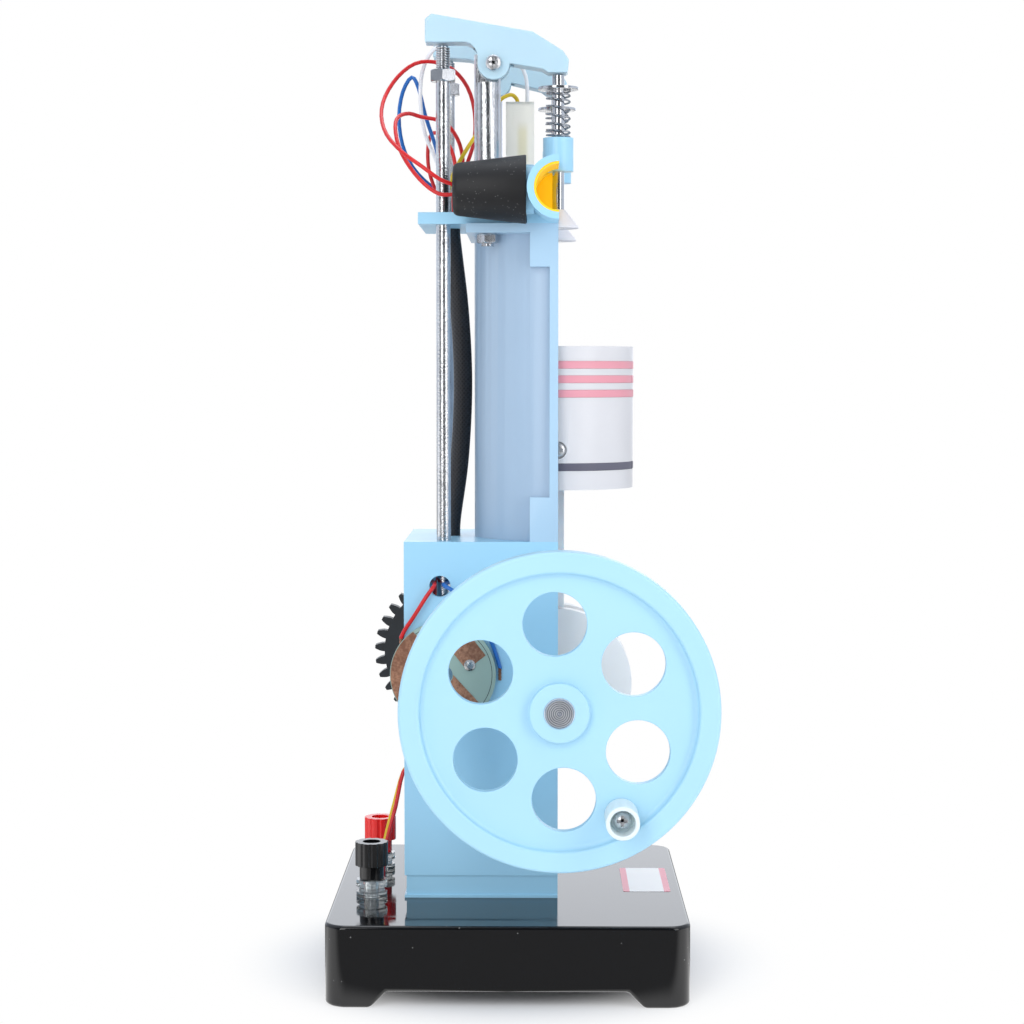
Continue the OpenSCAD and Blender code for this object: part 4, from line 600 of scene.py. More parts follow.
def moulded_rubber():
    """Moulded rubber: black with a soft shine, grey bloom in patches of 11 mm, pale dust of 0.4 mm"""
    material, tree, spot = new_material("black_moulded_rubber")
    pebble = add_node(tree, "ShaderNodeTexNoise", {"Scale": 900, "Detail": 2, "Vector": spot})
    bloom = add_node(tree, "ShaderNodeTexNoise", {"Scale": 90, "Detail": 4, "Vector": spot})
    shade = add_node(tree, "ShaderNodeMix", {"A": linear("#0A0A0C"), "B": linear("#1B1B1E"),
        "Factor": bloom.outputs["Fac"]}, data_type="RGBA")
    specks = add_node(tree, "ShaderNodeTexVoronoi", {"Scale": 700, "Vector": spot})
    near_speck = add_node(tree, "ShaderNodeMath", {0: specks.outputs["Distance"], 1: 0.15},
        operation="LESS_THAN")
    chosen = add_node(tree, "ShaderNodeMath", {0: bloom.outputs["Fac"], 1: 0.44},
        operation="GREATER_THAN")
    dust = add_node(tree, "ShaderNodeMath", {0: near_speck.outputs[0], 1: chosen.outputs[0]},
        operation="MULTIPLY")
    faint = add_node(tree, "ShaderNodeMath", {0: dust.outputs[0], 1: 0.17}, operation="MULTIPLY")
    dusty = add_node(tree, "ShaderNodeMix", {"B": linear("#C4C4C0"), "Factor": faint.outputs[0],
        "A": shade.outputs["Result"]}, data_type="RGBA")
    dull = add_node(tree, "ShaderNodeMapRange", {"To Min": 0.42, "To Max": 0.62,
        "Value": bloom.outputs["Fac"]})
    bump = add_node(tree, "ShaderNodeBump", {"Strength": 0.08, "Distance": 0.0002,
        "Height": pebble.outputs["Fac"]})
    surface = add_node(tree, "ShaderNodeBsdfPrincipled",
        {"IOR": 1.5, "Base Color": dusty.outputs["Result"], "Roughness": dull.outputs[0],
        "Normal": bump.outputs["Normal"]})
    return finish_material(material, surface)


rubber = moulded_rubber()
boot_profile = [(0, 8.4), (0.15, 9.2), (0.6, 9.95), (1.3, 10.4), (2.2, 10.72), (29.3, 13.9), (29.7, 13.8),
    (29.8, 13.4), (29.8, 10.03), (19.4, 10.03), (19.3, 6.6), (4.1, 6.5), (4, 6)]
for side, y in BOOT_Y.items():
    name = f"boot_{side}_rubber"
    boot = lathe(name, boot_profile, (BOOT_END_X, y, PORT_Z), (1, 0, 0))
    place_piece(name, boot, rubber, "frame", [f"boot_{side}"])

# Lamps and spark block: filament lamps in the sockets, and a milky polythene block over the spark lamp.
# The block is cast, so its corners are round, and the lamp inside shows through as a warm core.
def milky_plastic(name, colour, glow, tint=None, clear=0.0):
    """Natural polythene: white, waxy and a little translucent, with a soft shine and flow marks of 15 mm"""
    material, tree, spot = new_material(name)
    flow = add_node(tree, "ShaderNodeTexNoise", {"Scale": 65, "Detail": 3, "Distortion": 0.6,
        "Vector": spot})
    value = add_node(tree, "ShaderNodeMapRange", {"To Min": 0.965, "To Max": 1.02,
        "Value": flow.outputs["Fac"]})
    shade = add_node(tree, "ShaderNodeHueSaturation", {"Color": linear(colour),
        "Value": value.outputs[0]})
    if tint:
        tree.links.new(tint(tree, spot, colour), shade.inputs["Color"])
    dull = add_node(tree, "ShaderNodeMapRange", {"To Min": 0.26, "To Max": 0.4,
        "Value": flow.outputs["Fac"]})
    bump = add_node(tree, "ShaderNodeBump", {"Strength": 0.05, "Distance": 0.0002,
        "Height": flow.outputs["Fac"]})
    surface = add_node(tree, "ShaderNodeBsdfPrincipled",
        {"IOR": 1.51, "Subsurface Weight": glow, "Subsurface Radius": (0.003, 0.003, 0.0032),
        "Subsurface Scale": 1.0, "Transmission Weight": clear, "Base Color": shade.outputs["Color"],
        "Roughness": dull.outputs[0], "Normal": bump.outputs["Normal"]})
    return finish_material(material, surface)


def lamp_core(tree, position, colour):
    """Warm stripe of 4 mm along the block's middle, where the lamp's stem lies under the surface"""
    middle = Vector((BLOCK_X, ENGINE_Y, BLOCK_Z)) * MM
    centred = add_node(tree, "ShaderNodeMapping", {"Location": -middle, "Vector": position})
    parts = add_node(tree, "ShaderNodeSeparateXYZ", {0: centred.outputs[0]})
    aside = add_node(tree, "ShaderNodeMath", {0: parts.outputs["X"]}, operation="ABSOLUTE")
    across = add_node(tree, "ShaderNodeMapRange", {"From Min": 0.8 * MM, "From Max": 3 * MM,
        "To Min": 1.0, "To Max": 0.0, "Value": aside.outputs[0]}, interpolation_type="SMOOTHSTEP")
    away = add_node(tree, "ShaderNodeMath", {0: parts.outputs["Z"]}, operation="ABSOLUTE")
    along = add_node(tree, "ShaderNodeMapRange", {"From Min": 5 * MM, "From Max": 11 * MM, "To Min": 0.55,
        "To Max": 0.0, "Value": away.outputs[0]}, interpolation_type="SMOOTHSTEP")
    core = add_node(tree, "ShaderNodeMath", {0: across.outputs[0], 1: along.outputs[0]},
        operation="MULTIPLY")
    mixed = add_node(tree, "ShaderNodeMix", {"A": linear(colour), "B": linear("#DDD6A8"),
        "Factor": core.outputs[0]}, data_type="RGBA")
    return mixed.outputs["Result"]


BLOCK_X, BLOCK_Z = 5.5, 349
white_polythene = milky_plastic("natural_polythene", "#DBD9DA", glow=0.25)
milky_polythene = milky_plastic("milky_polythene", "#F3F2EA", glow=0.3, tint=lamp_core, clear=0.5)
block = rounded_copy("spark_block", width=1.2, segments=3)
place_piece("spark_lamp_block", block, milky_polythene, "frame", ["spark_block"])
finish_node("lamps", milky_plastic("frosted_lamp_glass", "#EFE7CC", glow=0.1))

# Rocker posts: steel bars, turned and zinc plated, with a flat tongue that the rocker straddles.
# A threaded stud below goes through the plate and the cylinder's flange, where a nut holds it.
def plated_steel(name, colour, rough, half_pitch, direction, mottle=0.35):
    """Plated bar: bright metal, pits of 0.8 mm in the plating, dull clouds of 8 mm, and turning marks,
    twice the half pitch in millimetres apart"""
    material, tree, spot = new_material(name)
    marks = add_node(tree, "ShaderNodeTexWave", {"Scale": 1 / (TURN * half_pitch * MM), "Distortion": 1.5,
        "Detail": 2, "Vector": spot}, bands_direction=direction)
    cloud = add_node(tree, "ShaderNodeTexNoise", {"Scale": 120, "Detail": 5, "Vector": spot})
    pits = add_node(tree, "ShaderNodeTexNoise", {"Scale": 1250, "Detail": 3, "Roughness": 0.6,
        "Vector": spot})
    value = add_node(tree, "ShaderNodeMapRange", {"From Min": 0.3, "From Max": 0.7, "To Min": 0.86,
        "To Max": 1.06, "Value": cloud.outputs["Fac"]})
    shade = add_node(tree, "ShaderNodeHueSaturation", {"Color": linear(colour),
        "Value": value.outputs[0]})
    dull = add_node(tree, "ShaderNodeMapRange", {"From Min": 0.3, "From Max": 0.7, "To Min": rough - 0.04,
        "To Max": rough + 0.1, "Value": cloud.outputs["Fac"]})
    fine = add_node(tree, "ShaderNodeBump", {"Strength": 0.1, "Distance": 0.0001,
        "Height": marks.outputs["Fac"]})
    bump = add_node(tree, "ShaderNodeBump", {"Strength": mottle, "Distance": 0.0002,
        "Height": pits.outputs["Fac"], "Normal": fine.outputs["Normal"]})
    surface = add_node(tree, "ShaderNodeBsdfPrincipled",
        {"Metallic": 1.0, "Base Color": shade.outputs["Color"], "Roughness": dull.outputs[0],
        "Normal": bump.outputs["Normal"]})
    return finish_material(material, surface)


def start_tree(name, sizes):
    """Geometry tree with an input for each named size and for the material, and the node that holds them"""
    tree = bpy.data.node_groups.new(name, "GeometryNodeTree")
    tree.interface.new_socket("Geometry", in_out="OUTPUT", socket_type="NodeSocketGeometry")
    for label, kind in (("Geometry", "Geometry"), *sizes.items(), ("Material", "Material")):
        tree.interface.new_socket(label, in_out="INPUT", socket_type="NodeSocket" + kind)
    return tree, add_node(tree, "NodeGroupInput")


def end_tree(tree, sizes, shape):
    """Ends a geometry tree with real meshes instead of instances, in the material that was given"""
    whole = add_node(tree, "GeometryNodeRealizeInstances", {0: shape.outputs[0]})
    painted = add_node(tree, "GeometryNodeSetMaterial",
        {"Geometry": whole.outputs[0], "Material": sizes.outputs["Material"]})
    add_node(tree, "NodeGroupOutput", {"Geometry": painted.outputs[0]})
    return tree


def hex_nut_tree():
    """Hexagon nuts with rounded-off corners and a bore, one on each point of a mesh"""
    tree, sizes = start_tree("hexagon_nuts", {"Flats": "Float", "Height": "Float", "Bore": "Float",
        "Turn": "Float"})
    corner = add_node(tree, "ShaderNodeMath", {0: sizes.outputs["Flats"], 1: 1 / math.sqrt(3)},
        operation="MULTIPLY")
    prism = add_node(tree, "GeometryNodeMeshCylinder",
        {"Vertices": 6, "Radius": corner.outputs[0], "Depth": sizes.outputs["Height"]})
    wide = add_node(tree, "ShaderNodeMath", {0: corner.outputs[0], 1: 1.115}, operation="MULTIPLY")
    tall = add_node(tree, "ShaderNodeMath", {0: sizes.outputs["Height"], 1: 0.772}, operation="MULTIPLY")
    reach = add_node(tree, "ShaderNodeCombineXYZ", {"X": wide.outputs[0], "Y": wide.outputs[0],
        "Z": tall.outputs[0]})
    ball = add_node(tree, "GeometryNodeMeshUVSphere", {"Segments": 48, "Rings": 24, "Radius": 1.0})
    chamfer = add_node(tree, "GeometryNodeTransform", {"Geometry": ball.outputs["Mesh"],
        "Scale": reach.outputs[0]})
    cut = add_node(tree, "GeometryNodeMeshBoolean", {"Mesh 2": prism.outputs["Mesh"]},
        operation="INTERSECT")
    tree.links.new(chamfer.outputs[0], cut.inputs["Mesh 2"])
    half = add_node(tree, "ShaderNodeMath", {0: sizes.outputs["Bore"], 1: 0.5}, operation="MULTIPLY")
    deep = add_node(tree, "ShaderNodeMath", {0: sizes.outputs["Height"], 1: 2.0}, operation="MULTIPLY")
    drill = add_node(tree, "GeometryNodeMeshCylinder",
        {"Vertices": 32, "Radius": half.outputs[0], "Depth": deep.outputs[0]})
    drilled = add_node(tree, "GeometryNodeMeshBoolean",
        {"Mesh 1": cut.outputs["Mesh"], "Mesh 2": drill.outputs["Mesh"]}, operation="DIFFERENCE")
    spun = add_node(tree, "ShaderNodeCombineXYZ", {"Z": sizes.outputs["Turn"]})
    turned = add_node(tree, "GeometryNodeTransform", {"Geometry": drilled.outputs["Mesh"],
        "Rotation": spun.outputs[0]})
    placed = add_node(tree, "GeometryNodeInstanceOnPoints",
        {"Points": sizes.outputs["Geometry"], "Instance": turned.outputs[0]})
    return end_tree(tree, sizes, placed)


def winding_tree():
    """Wire wound on a cylinder, closer towards both ends; a screw thread is wound the same way"""
    tree, sizes = start_tree("wound_wire", {"Turns": "Float", "Radius": "Float", "Height": "Float",
        "Wire radius": "Float", "Closing": "Float", "Rings per turn": "Int"})
    spiral = add_node(tree, "GeometryNodeCurveSpiral",
        {"Resolution": sizes.outputs["Rings per turn"], "Rotations": sizes.outputs["Turns"],
        "Start Radius": sizes.outputs["Radius"], "End Radius": sizes.outputs["Radius"],
        "Height": sizes.outputs["Height"]})
    place = add_node(tree, "GeometryNodeInputPosition")
    parts = add_node(tree, "ShaderNodeSeparateXYZ", {0: place.outputs[0]})
    share = add_node(tree, "ShaderNodeMath", {0: parts.outputs["Z"], 1: sizes.outputs["Height"]},
        operation="DIVIDE")
    turn = add_node(tree, "ShaderNodeMath", {0: share.outputs[0], 1: TURN}, operation="MULTIPLY")
    swing = add_node(tree, "ShaderNodeMath", {0: turn.outputs[0]}, operation="SINE")
    depth = add_node(tree, "ShaderNodeMath", {0: sizes.outputs["Height"], 1: sizes.outputs["Closing"]},
        operation="MULTIPLY")
    scaled = add_node(tree, "ShaderNodeMath", {0: depth.outputs[0], 1: -1 / TURN},
        operation="MULTIPLY")
    shift = add_node(tree, "ShaderNodeMath", {0: swing.outputs[0], 1: scaled.outputs[0]},
        operation="MULTIPLY")
    offset = add_node(tree, "ShaderNodeCombineXYZ", {"Z": shift.outputs[0]})
    moved = add_node(tree, "GeometryNodeSetPosition", {"Geometry": spiral.outputs[0],
        "Offset": offset.outputs[0]})
    section = add_node(tree, "GeometryNodeCurvePrimitiveCircle",
        {"Resolution": 10, "Radius": sizes.outputs["Wire radius"]})
    solid = add_node(tree, "GeometryNodeCurveToMesh", {"Fill Caps": True, "Curve": moved.outputs[0],
        "Profile Curve": section.outputs[0]})
    return end_tree(tree, sizes, solid)


def run_tree(name, tree, points, inputs, sharp=30):
    """Runs a geometry tree on a list of points in millimetres and returns the result as a plain mesh"""
    start = bpy.data.meshes.new(name + "_points")
    start.from_pydata([Vector(point) * MM for point in points], [], [])
    holder = bpy.data.objects.new(name, start)
    bpy.context.scene.collection.objects.link(holder)
    modifier = holder.modifiers.new("shape", "NODES")
    modifier.node_group = tree
    sockets = {s.name: s.identifier for s in tree.interface.items_tree if s.in_out == "INPUT"}
    for key, value in inputs.items():
        modifier[sockets[key]] = value
    mesh = bpy.data.meshes.new_from_object(holder.evaluated_get(bpy.context.evaluated_depsgraph_get()))
    bpy.data.objects.remove(holder)
    mesh.name = name
    mesh.shade_smooth()
    mesh.set_sharp_from_angle(angle=math.radians(sharp))
    return mesh


def wound(name, low, radius, height, turns, wire_radius, closing, material):
    """Winding that stands on a point in millimetres"""
    mesh = run_tree(name, winding, [(0, 0, 0)], {"Turns": turns, "Radius": radius * MM,
        "Height": height * MM, "Wire radius": wire_radius * MM, "Closing": closing, "Rings per turn": 28,
        "Material": material}, 60)
    mesh.transform(Matrix.Translation(Vector(low) * MM))
    return mesh


TURN = 2 * math.pi
winding = winding_tree()
hex_nut = hex_nut_tree()
upright_steel = plated_steel("zinc_plated_bar", "#CDCFD3", rough=0.11, half_pitch=0.8, direction="Z",
    mottle=0.6)
zinc = plated_steel("zinc_plated_steel", "#CACCD0", rough=0.18, half_pitch=1.2, direction="Z", mottle=0.1)
POST_X, NUT_LOW = -8.8, 306.1
NUT_H, STUD_OUT = 4, 1.2
SIDE_Y = {"near": -20, "far": 38}
for side, y in SIDE_Y.items():
    place_piece(f"post_{side}_bar", rounded_copy(f"post_{side}", width=0.3), upright_steel, "frame",
        [f"post_{side}"])
    name = f"post_stud_thread_{side}"
    thread = wound(name, (POST_X, y, NUT_LOW - STUD_OUT), radius=2.4, height=1.6, turns=2.0, wire_radius=0.26,
        closing=0.0, material=zinc)
    place_piece(name, thread, zinc, "frame")
nut_places = [(POST_X, y, NUT_LOW + NUT_H / 2) for y in SIDE_Y.values()]
post_nuts = run_tree("post_nuts_hexagon", hex_nut, nut_places, {"Flats": 8 * MM, "Height": NUT_H * MM,
    "Bore": 5 * MM, "Turn": math.radians(15), "Material": zinc})
place_piece("post_nuts_hexagon", post_nuts, zinc, "frame", ["post_nuts"])

# Push rods: bright steel rods with a round foot on the cam and a threaded top under the rocker.
# A lock nut sets each rod's length.
THREAD_DOWN, LOCK_NUT_DOWN = 10.4, 12.5
for side, y in SIDE_Y.items():
    body = f"pushrod_{side}"
    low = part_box(body)[0][2] / MM
    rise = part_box(body)[1][2] / MM - low
    rod_profile = [(0, 5.4), (0.5, 6), (2.6, 6), (3, 5.6), (3.05, 3), (rise - 12.5, 3), (rise - 12.2, 2.3),
        (rise - 0.5, 2.3), (rise, 1.9)]
    bar = lathe(f"{body}_bar", rod_profile, (CAM_X, y, low), (0, 0, 1), sides=48)
    place_piece(f"{body}_bar", bar, upright_steel, body, [body])
    thread = wound(f"{body}_thread", (CAM_X, y, low + rise - THREAD_DOWN), radius=2.58, height=9.8,
        turns=9.8, wire_radius=0.4, closing=0.0, material=zinc)
    place_piece(f"{body}_thread", thread, zinc, body)
    name = f"lock_nut_{side}_hexagon"
    nut_place = (CAM_X, y, low + rise - LOCK_NUT_DOWN)
    nut = run_tree(name, hex_nut, [nut_place], {"Flats": 10 * MM, "Height": 5 * MM,
        "Bore": 5.2 * MM, "Turn": math.radians(30), "Material": zinc})
    place_piece(name, nut, zinc, body)

# Rockers: light-blue ABS levers that turn on a screw through the post's tongue.
# The screw's domed head has a cross recess.
def cross_head_tree():
    """Domed screw heads with a cross recess, one on each point, looking along an axis"""
    tree, sizes = start_tree("cross_head_screws", {"Head radius": "Float", "Dome height": "Float",
        "Recess width": "Float", "Recess depth": "Float", "Axis": "Vector"})
    spread = add_node(tree, "ShaderNodeCombineXYZ", {"X": sizes.outputs["Head radius"],
        "Y": sizes.outputs["Head radius"], "Z": sizes.outputs["Dome height"]})
    ball = add_node(tree, "GeometryNodeMeshUVSphere", {"Segments": 40, "Rings": 20, "Radius": 1.0})
    dome = add_node(tree, "GeometryNodeTransform", {"Geometry": ball.outputs["Mesh"],
        "Scale": spread.outputs[0]})
    long = add_node(tree, "ShaderNodeMath", {0: sizes.outputs["Head radius"], 1: 1.3},
        operation="MULTIPLY")
    deep = add_node(tree, "ShaderNodeMath", {0: sizes.outputs["Recess depth"], 1: 2.0},
        operation="MULTIPLY")
    top = add_node(tree, "ShaderNodeCombineXYZ", {"Z": sizes.outputs["Dome height"]})
    cut = add_node(tree, "GeometryNodeMeshBoolean", {"Mesh 1": dome.outputs[0]}, operation="DIFFERENCE")
    for first, second in (("X", "Y"), ("Y", "X")):
        bar = add_node(tree, "ShaderNodeCombineXYZ", {first: long.outputs[0],
            second: sizes.outputs["Recess width"], "Z": deep.outputs[0]})
        blade = add_node(tree, "GeometryNodeMeshCube", {"Size": bar.outputs[0]})
        raised = add_node(tree, "GeometryNodeTransform", {"Geometry": blade.outputs["Mesh"],
            "Translation": top.outputs[0]})
        tree.links.new(raised.outputs[0], cut.inputs["Mesh 2"])
    facing = add_node(tree, "FunctionNodeAlignRotationToVector", {"Vector": sizes.outputs["Axis"]},
        axis="Z")
    placed = add_node(tree, "GeometryNodeInstanceOnPoints",
        {"Points": sizes.outputs["Geometry"], "Instance": cut.outputs["Mesh"],
        "Rotation": facing.outputs[0]})
    return end_tree(tree, sizes, placed)


def screw_domes(name, places, axis, radius, height, body):
    """Domed heads on the flat heads of a row of screws"""
    mesh = run_tree(name, cross_head, places, {"Head radius": radius * MM, "Dome height": height * MM,
        "Recess width": 0.38 * radius * MM, "Recess depth": 0.9 * height * MM, "Axis": axis,
        "Material": screw_steel})
    place_piece(name, mesh, screw_steel, body)


cross_head = cross_head_tree()
screw_steel = plated_steel("bright_zinc_screw_steel", "#E0E1E4", rough=0.28, half_pitch=0.6,
    direction="Y", mottle=0.2)
PIVOT_X, PIVOT_Z = -6.2, 379.4
PIVOT_REACH = 8.6
rocker_abs = moulded_abs("pale_blue_abs", "#B9D7E4", gloss=0.36, glow=0.15)
for side, out in (("near", -1), ("far", 1)):
    body = f"rocker_{side}"
    place_piece(f"{body}_moulding", rounded_copy(body, width=1.5, segments=4), rocker_abs, body,
        [body])
    head_place = (PIVOT_X, SIDE_Y[side] + out * PIVOT_REACH, PIVOT_Z)
    screw_domes(f"pivot_screw_{side}_head", [head_place], (0, out, 0), radius=3.2, height=1.3,
        body="frame")

# Valves: plated stems with a thin retainer near the top, and milky conical heads moulded on.
# The far one stands open.
translucent_polythene = milky_plastic("translucent_polythene", "#E2E0E3", glow=0.45)
stem_steel = plated_steel("polished_stem_steel", "#C9CBCF", rough=0.14, half_pitch=0.8, direction="Z",
    mottle=0.12)
for side in SIDE_Y:
    body = f"valve_{side}"
    stem, head = f"valve_stem_{side}", f"valve_head_{side}"
    place_piece(f"{stem}_bar", rounded_copy(stem, width=0.25), stem_steel, body, [stem])
    place_piece(f"{head}_cone", rounded_copy(head, width=0.25), translucent_polythene, body,
        [head])

# Valve springs: drawn steel wire, wound cold, with closer turns at both ends.
# Each stands on its guide and pushes the retainer up.
GUIDE_TOP = 349.4
SPRING_WIRE_R = 0.4
spring_wire = plated_steel("drawn_spring_wire", "#A9ACB2", rough=0.22, half_pitch=0.6, direction="Z",
    mottle=0.1)
for side, height in (("near", 19.7), ("far", 17.8)):
    name = f"valve_spring_{side}"
    foot = (ENGINE_X, SIDE_Y[side], GUIDE_TOP + SPRING_WIRE_R)
    coil = wound(name, foot, radius=4.8, height=height - 2 * SPRING_WIRE_R, turns=7.0,
        wire_radius=SPRING_WIRE_R, closing=0.35, material=spring_wire)
    spring = place_piece(name, coil, spring_wire, "frame", [f"spring_{side}"])
    if side == "near":
        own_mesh(spring)

# Flywheel and handle: the wheel is a light-blue ABS moulding with six round holes, pressed on the shaft.
# The handle is a white knob that spins on a screw in the wheel's web.
CRANK_Z = 120.3
RIM_IN, HUB_OUT = 54.5, 11.8
RIM_EDGES, HOLE_EDGES = 62, 15
WEB_FRONT, WEB_BACK = -90, -82


def wheel_edge(p):
    """Share of the rounding: widest in the corner of rim and web, less on the rim, least at hub and holes"""
    reach = math.hypot(p.x - ENGINE_X, p.z - CRANK_Z)
    on_web = WEB_FRONT < p.y < WEB_BACK
    if reach > RIM_EDGES:
        return 0.7
    if abs(reach - RIM_IN) < 0.6:
        return 1.0 if on_web else 0.65
    if abs(reach - HUB_OUT) < 0.4:
        return 0.35 if on_web else 0.3
    return 0.22 if reach > HOLE_EDGES else 0.1


knob_polythene = milky_plastic("pale_aqua_polythene", "#E4F0F1", glow=0.6)
wheel_abs = moulded_abs("flywheel_abs", "#B0DDF2", gloss=0.34)
wheel = rounded_copy("flywheel", width=2.0, segments=5, share=wheel_edge)
place_piece("flywheel_moulding", wheel, wheel_abs, "crank", ["flywheel"])
knob = rounded_copy("handle_knob", width=0.6, segments=3)
place_piece("handle_knob_turned", knob, knob_polythene, "handle", ["handle_knob"])
HANDLE_X, HANDLE_Y, HANDLE_Z = 44.7068, -99.8, 80.0131
screw_domes("handle_screw_head", [(HANDLE_X, HANDLE_Y, HANDLE_Z)], (0, -1, 0), radius=3.3, height=2.0,
    body="crank")

# Crankshaft: two ground steel shafts and the crank pin, pressed into two round white webs.
# The shaft's end is faced on the lathe, which leaves rings and a centre mark.
def faced_steel():
    """Ground shaft, faced at its end: rings 0.8 mm apart round the axis, drawn coarse enough to show"""
    material, tree, spot = new_material("faced_shaft_steel")
    centred = add_node(tree, "ShaderNodeMapping", {"Location": (-ENGINE_X * MM, 0, -CRANK_Z * MM),
        "Vector": spot})
    rings = add_node(tree, "ShaderNodeTexWave", {"Scale": 1 / (TURN * 0.4 * MM), "Distortion": 1.6,
        "Detail": 2, "Vector": centred.outputs[0]}, wave_type="RINGS", rings_direction="Y")
    shade = add_node(tree, "ShaderNodeMix", {"A": linear("#8A92A2"), "B": linear("#F0F2F6"),
        "Factor": rings.outputs["Fac"]}, data_type="RGBA")
    dull = add_node(tree, "ShaderNodeMapRange", {"To Min": 0.5, "To Max": 0.3,
        "Value": rings.outputs["Fac"]})
    bump = add_node(tree, "ShaderNodeBump", {"Strength": 0.3, "Distance": 0.0001,
        "Height": rings.outputs["Fac"]})
    surface = add_node(tree, "ShaderNodeBsdfPrincipled",
        {"Metallic": 1.0, "Base Color": shade.outputs["Result"], "Roughness": dull.outputs[0],
        "Normal": bump.outputs["Normal"]})
    return finish_material(material, surface)


shaft_steel = faced_steel()
CRANK_THROW = 22
near_shaft = [(0.8, 0.15), (0, 0.9), (0, 5.3), (0.7, 6), (95.6, 6), (96, 5.6)]
far_shaft = [(0, 5.6), (0.4, 6), (40.4, 6), (41, 5.4)]
crank_pin = [(0, 4.6), (0.4, 5), (27.6, 5), (28, 4.6)]
for name, profile, start_y, z, replaced in (
        ("crankshaft_near_bar", near_shaft, -93, CRANK_Z, ["crankshaft"]),
        ("crankshaft_far_bar", far_shaft, 15, CRANK_Z, ()),
        ("crank_pin_bar", crank_pin, -5, CRANK_Z - CRANK_THROW, ())):
    bar = lathe(name, profile, (ENGINE_X, start_y, z), (0, 1, 0))
    place_piece(name, bar, shaft_steel, "crank", replaced)
web_polythene = milky_plastic("white_polythene", "#F6F5F3", glow=0.35)
webs = rounded_copy("crank_webs", width=1.4, segments=3)
place_piece("crank_web_discs", webs, web_polythene, "crank", ["crank_webs"])

# Piston and rod: a white polythene piston with screws through its bosses, on a pale moulded rod.
# The rings are split bands of pink plastic in grooves, and the oil ring is dark grey.
def split_ring(name, low, high, inner, outer, gap, turn):
    """Ring round the cylinder's axis, in millimetres, with a gap at an angle in degrees"""
    steps = 120
    edge = 0.25
    half = math.degrees(gap / 2 / outer)
    rings = []
    for k in range(steps + 1):
        angle = math.radians(turn + half + (360 - 2 * half) * k / steps)
        ring = []
        for radius, z in ((inner, low), (outer - edge, low), (outer, low + edge), (outer, high - edge),
                (outer - edge, high), (inner, high)):
            across = ENGINE_X + radius * math.cos(angle)
            along = ENGINE_Y + radius * math.sin(angle)
            ring.append(Vector((across, along, z)) * MM)
        rings.append(ring)
    return ringed_mesh(name, rings, sharp=30)


piston = rounded_copy("piston", width=0.4)
place_piece("piston_moulding", piston, white_polythene, "piston", ["piston"])
white_abs = moulded_abs("white_abs", "#EDF1F5", gloss=0.36, glow=0.3)
rod = rounded_copy("connecting_rod", width=0.8, segments=3)
place_piece("connecting_rod_moulding", rod, white_abs, "rod", ["connecting_rod"])
pink = moulded_abs("pink_ring_plastic", "#E79BA7", gloss=0.4, glow=0.2)
grey = moulded_abs("grey_ring_plastic", "#5A5968", gloss=0.4)
PISTON_TOP, PISTON_H = 263.6, 60
RING_IN, RING_OUT = 30.7, 32.65
RING_H, RING_GAP = 3.2, 0.9
RING_PITCH = 6
TOP_RING_DOWN, OIL_RING_UP = 6.2, 11.2
ring_tops = [PISTON_TOP - TOP_RING_DOWN - RING_PITCH * k for k in range(3)]
for k, (top, turn) in enumerate(zip(ring_tops, (-13, -14, -12))):
    name = f"piston_ring_{k + 1}"
    ring = split_ring(name, top - RING_H, top, RING_IN, RING_OUT, RING_GAP, turn)
    place_piece(name, ring, pink, "piston", ["piston_rings"] if k == 0 else ())
OIL_TOP = PISTON_TOP - PISTON_H + OIL_RING_UP
oil_ring = split_ring("oil_ring_band", OIL_TOP - RING_H, OIL_TOP, RING_IN, RING_OUT, RING_GAP, turn=-13)
place_piece("oil_ring_band", oil_ring, grey, "piston", ["oil_ring"])
GUDGEON_Z, GUDGEON_REACH = 220.3, 31.2
for side, out in (("near", -1), ("far", 1)):
    head_place = (ENGINE_X, ENGINE_Y + out * GUDGEON_REACH, GUDGEON_Z)
    screw_domes(f"gudgeon_screw_{side}_head", [head_place], (0, out, 0), radius=3.2, height=1.2,
        body="piston")

# Gears and cams: black nylon gears outside the far wall, moulded with rounded teeth, and white cams.
# All four sit on the two shafts.
def tooth_edge(p):
    """Share of the rounding: full along the teeth, little on the gears' faces"""
    return 1.0 if abs(p.y - GEAR_MIDDLE) < 0.5 else 0.3


GEAR_MIDDLE = 52
nylon = moulded_abs("black_nylon", "#1A1A1D", gloss=0.42)
for body in ("crank", "cam"):
    gear = rounded_copy(f"{body}_gear", width=0.5, segments=3, share=tooth_edge)
    place_piece(f"{body}_gear_moulding", gear, nylon, body, [f"{body}_gear"])
place_piece("cam_mouldings", rounded_copy("cams", width=0.4), white_polythene, "cam",
    ["cams"])
cross_steel = plated_steel("ground_shaft_steel", "#C2C4C8", rough=0.22, half_pitch=0.8, direction="Y",
    mottle=0.1)
bronze = plated_steel("turned_bronze", "#C79B55", rough=0.3, half_pitch=0.8, direction="Y", mottle=0.1)
for node, finish in (("camshaft", cross_steel), ("web_dowels", cross_steel), ("gudgeon_pin", cross_steel),
        ("shaft_bushes", bronze), ("terminal_studs", zinc), ("base_screws", zinc), ("cylinder_pins", zinc),
        ("pivot_screws", screw_steel), ("handle_screw", screw_steel), ("gudgeon_screws", screw_steel)):
    finish_node(node, finish)

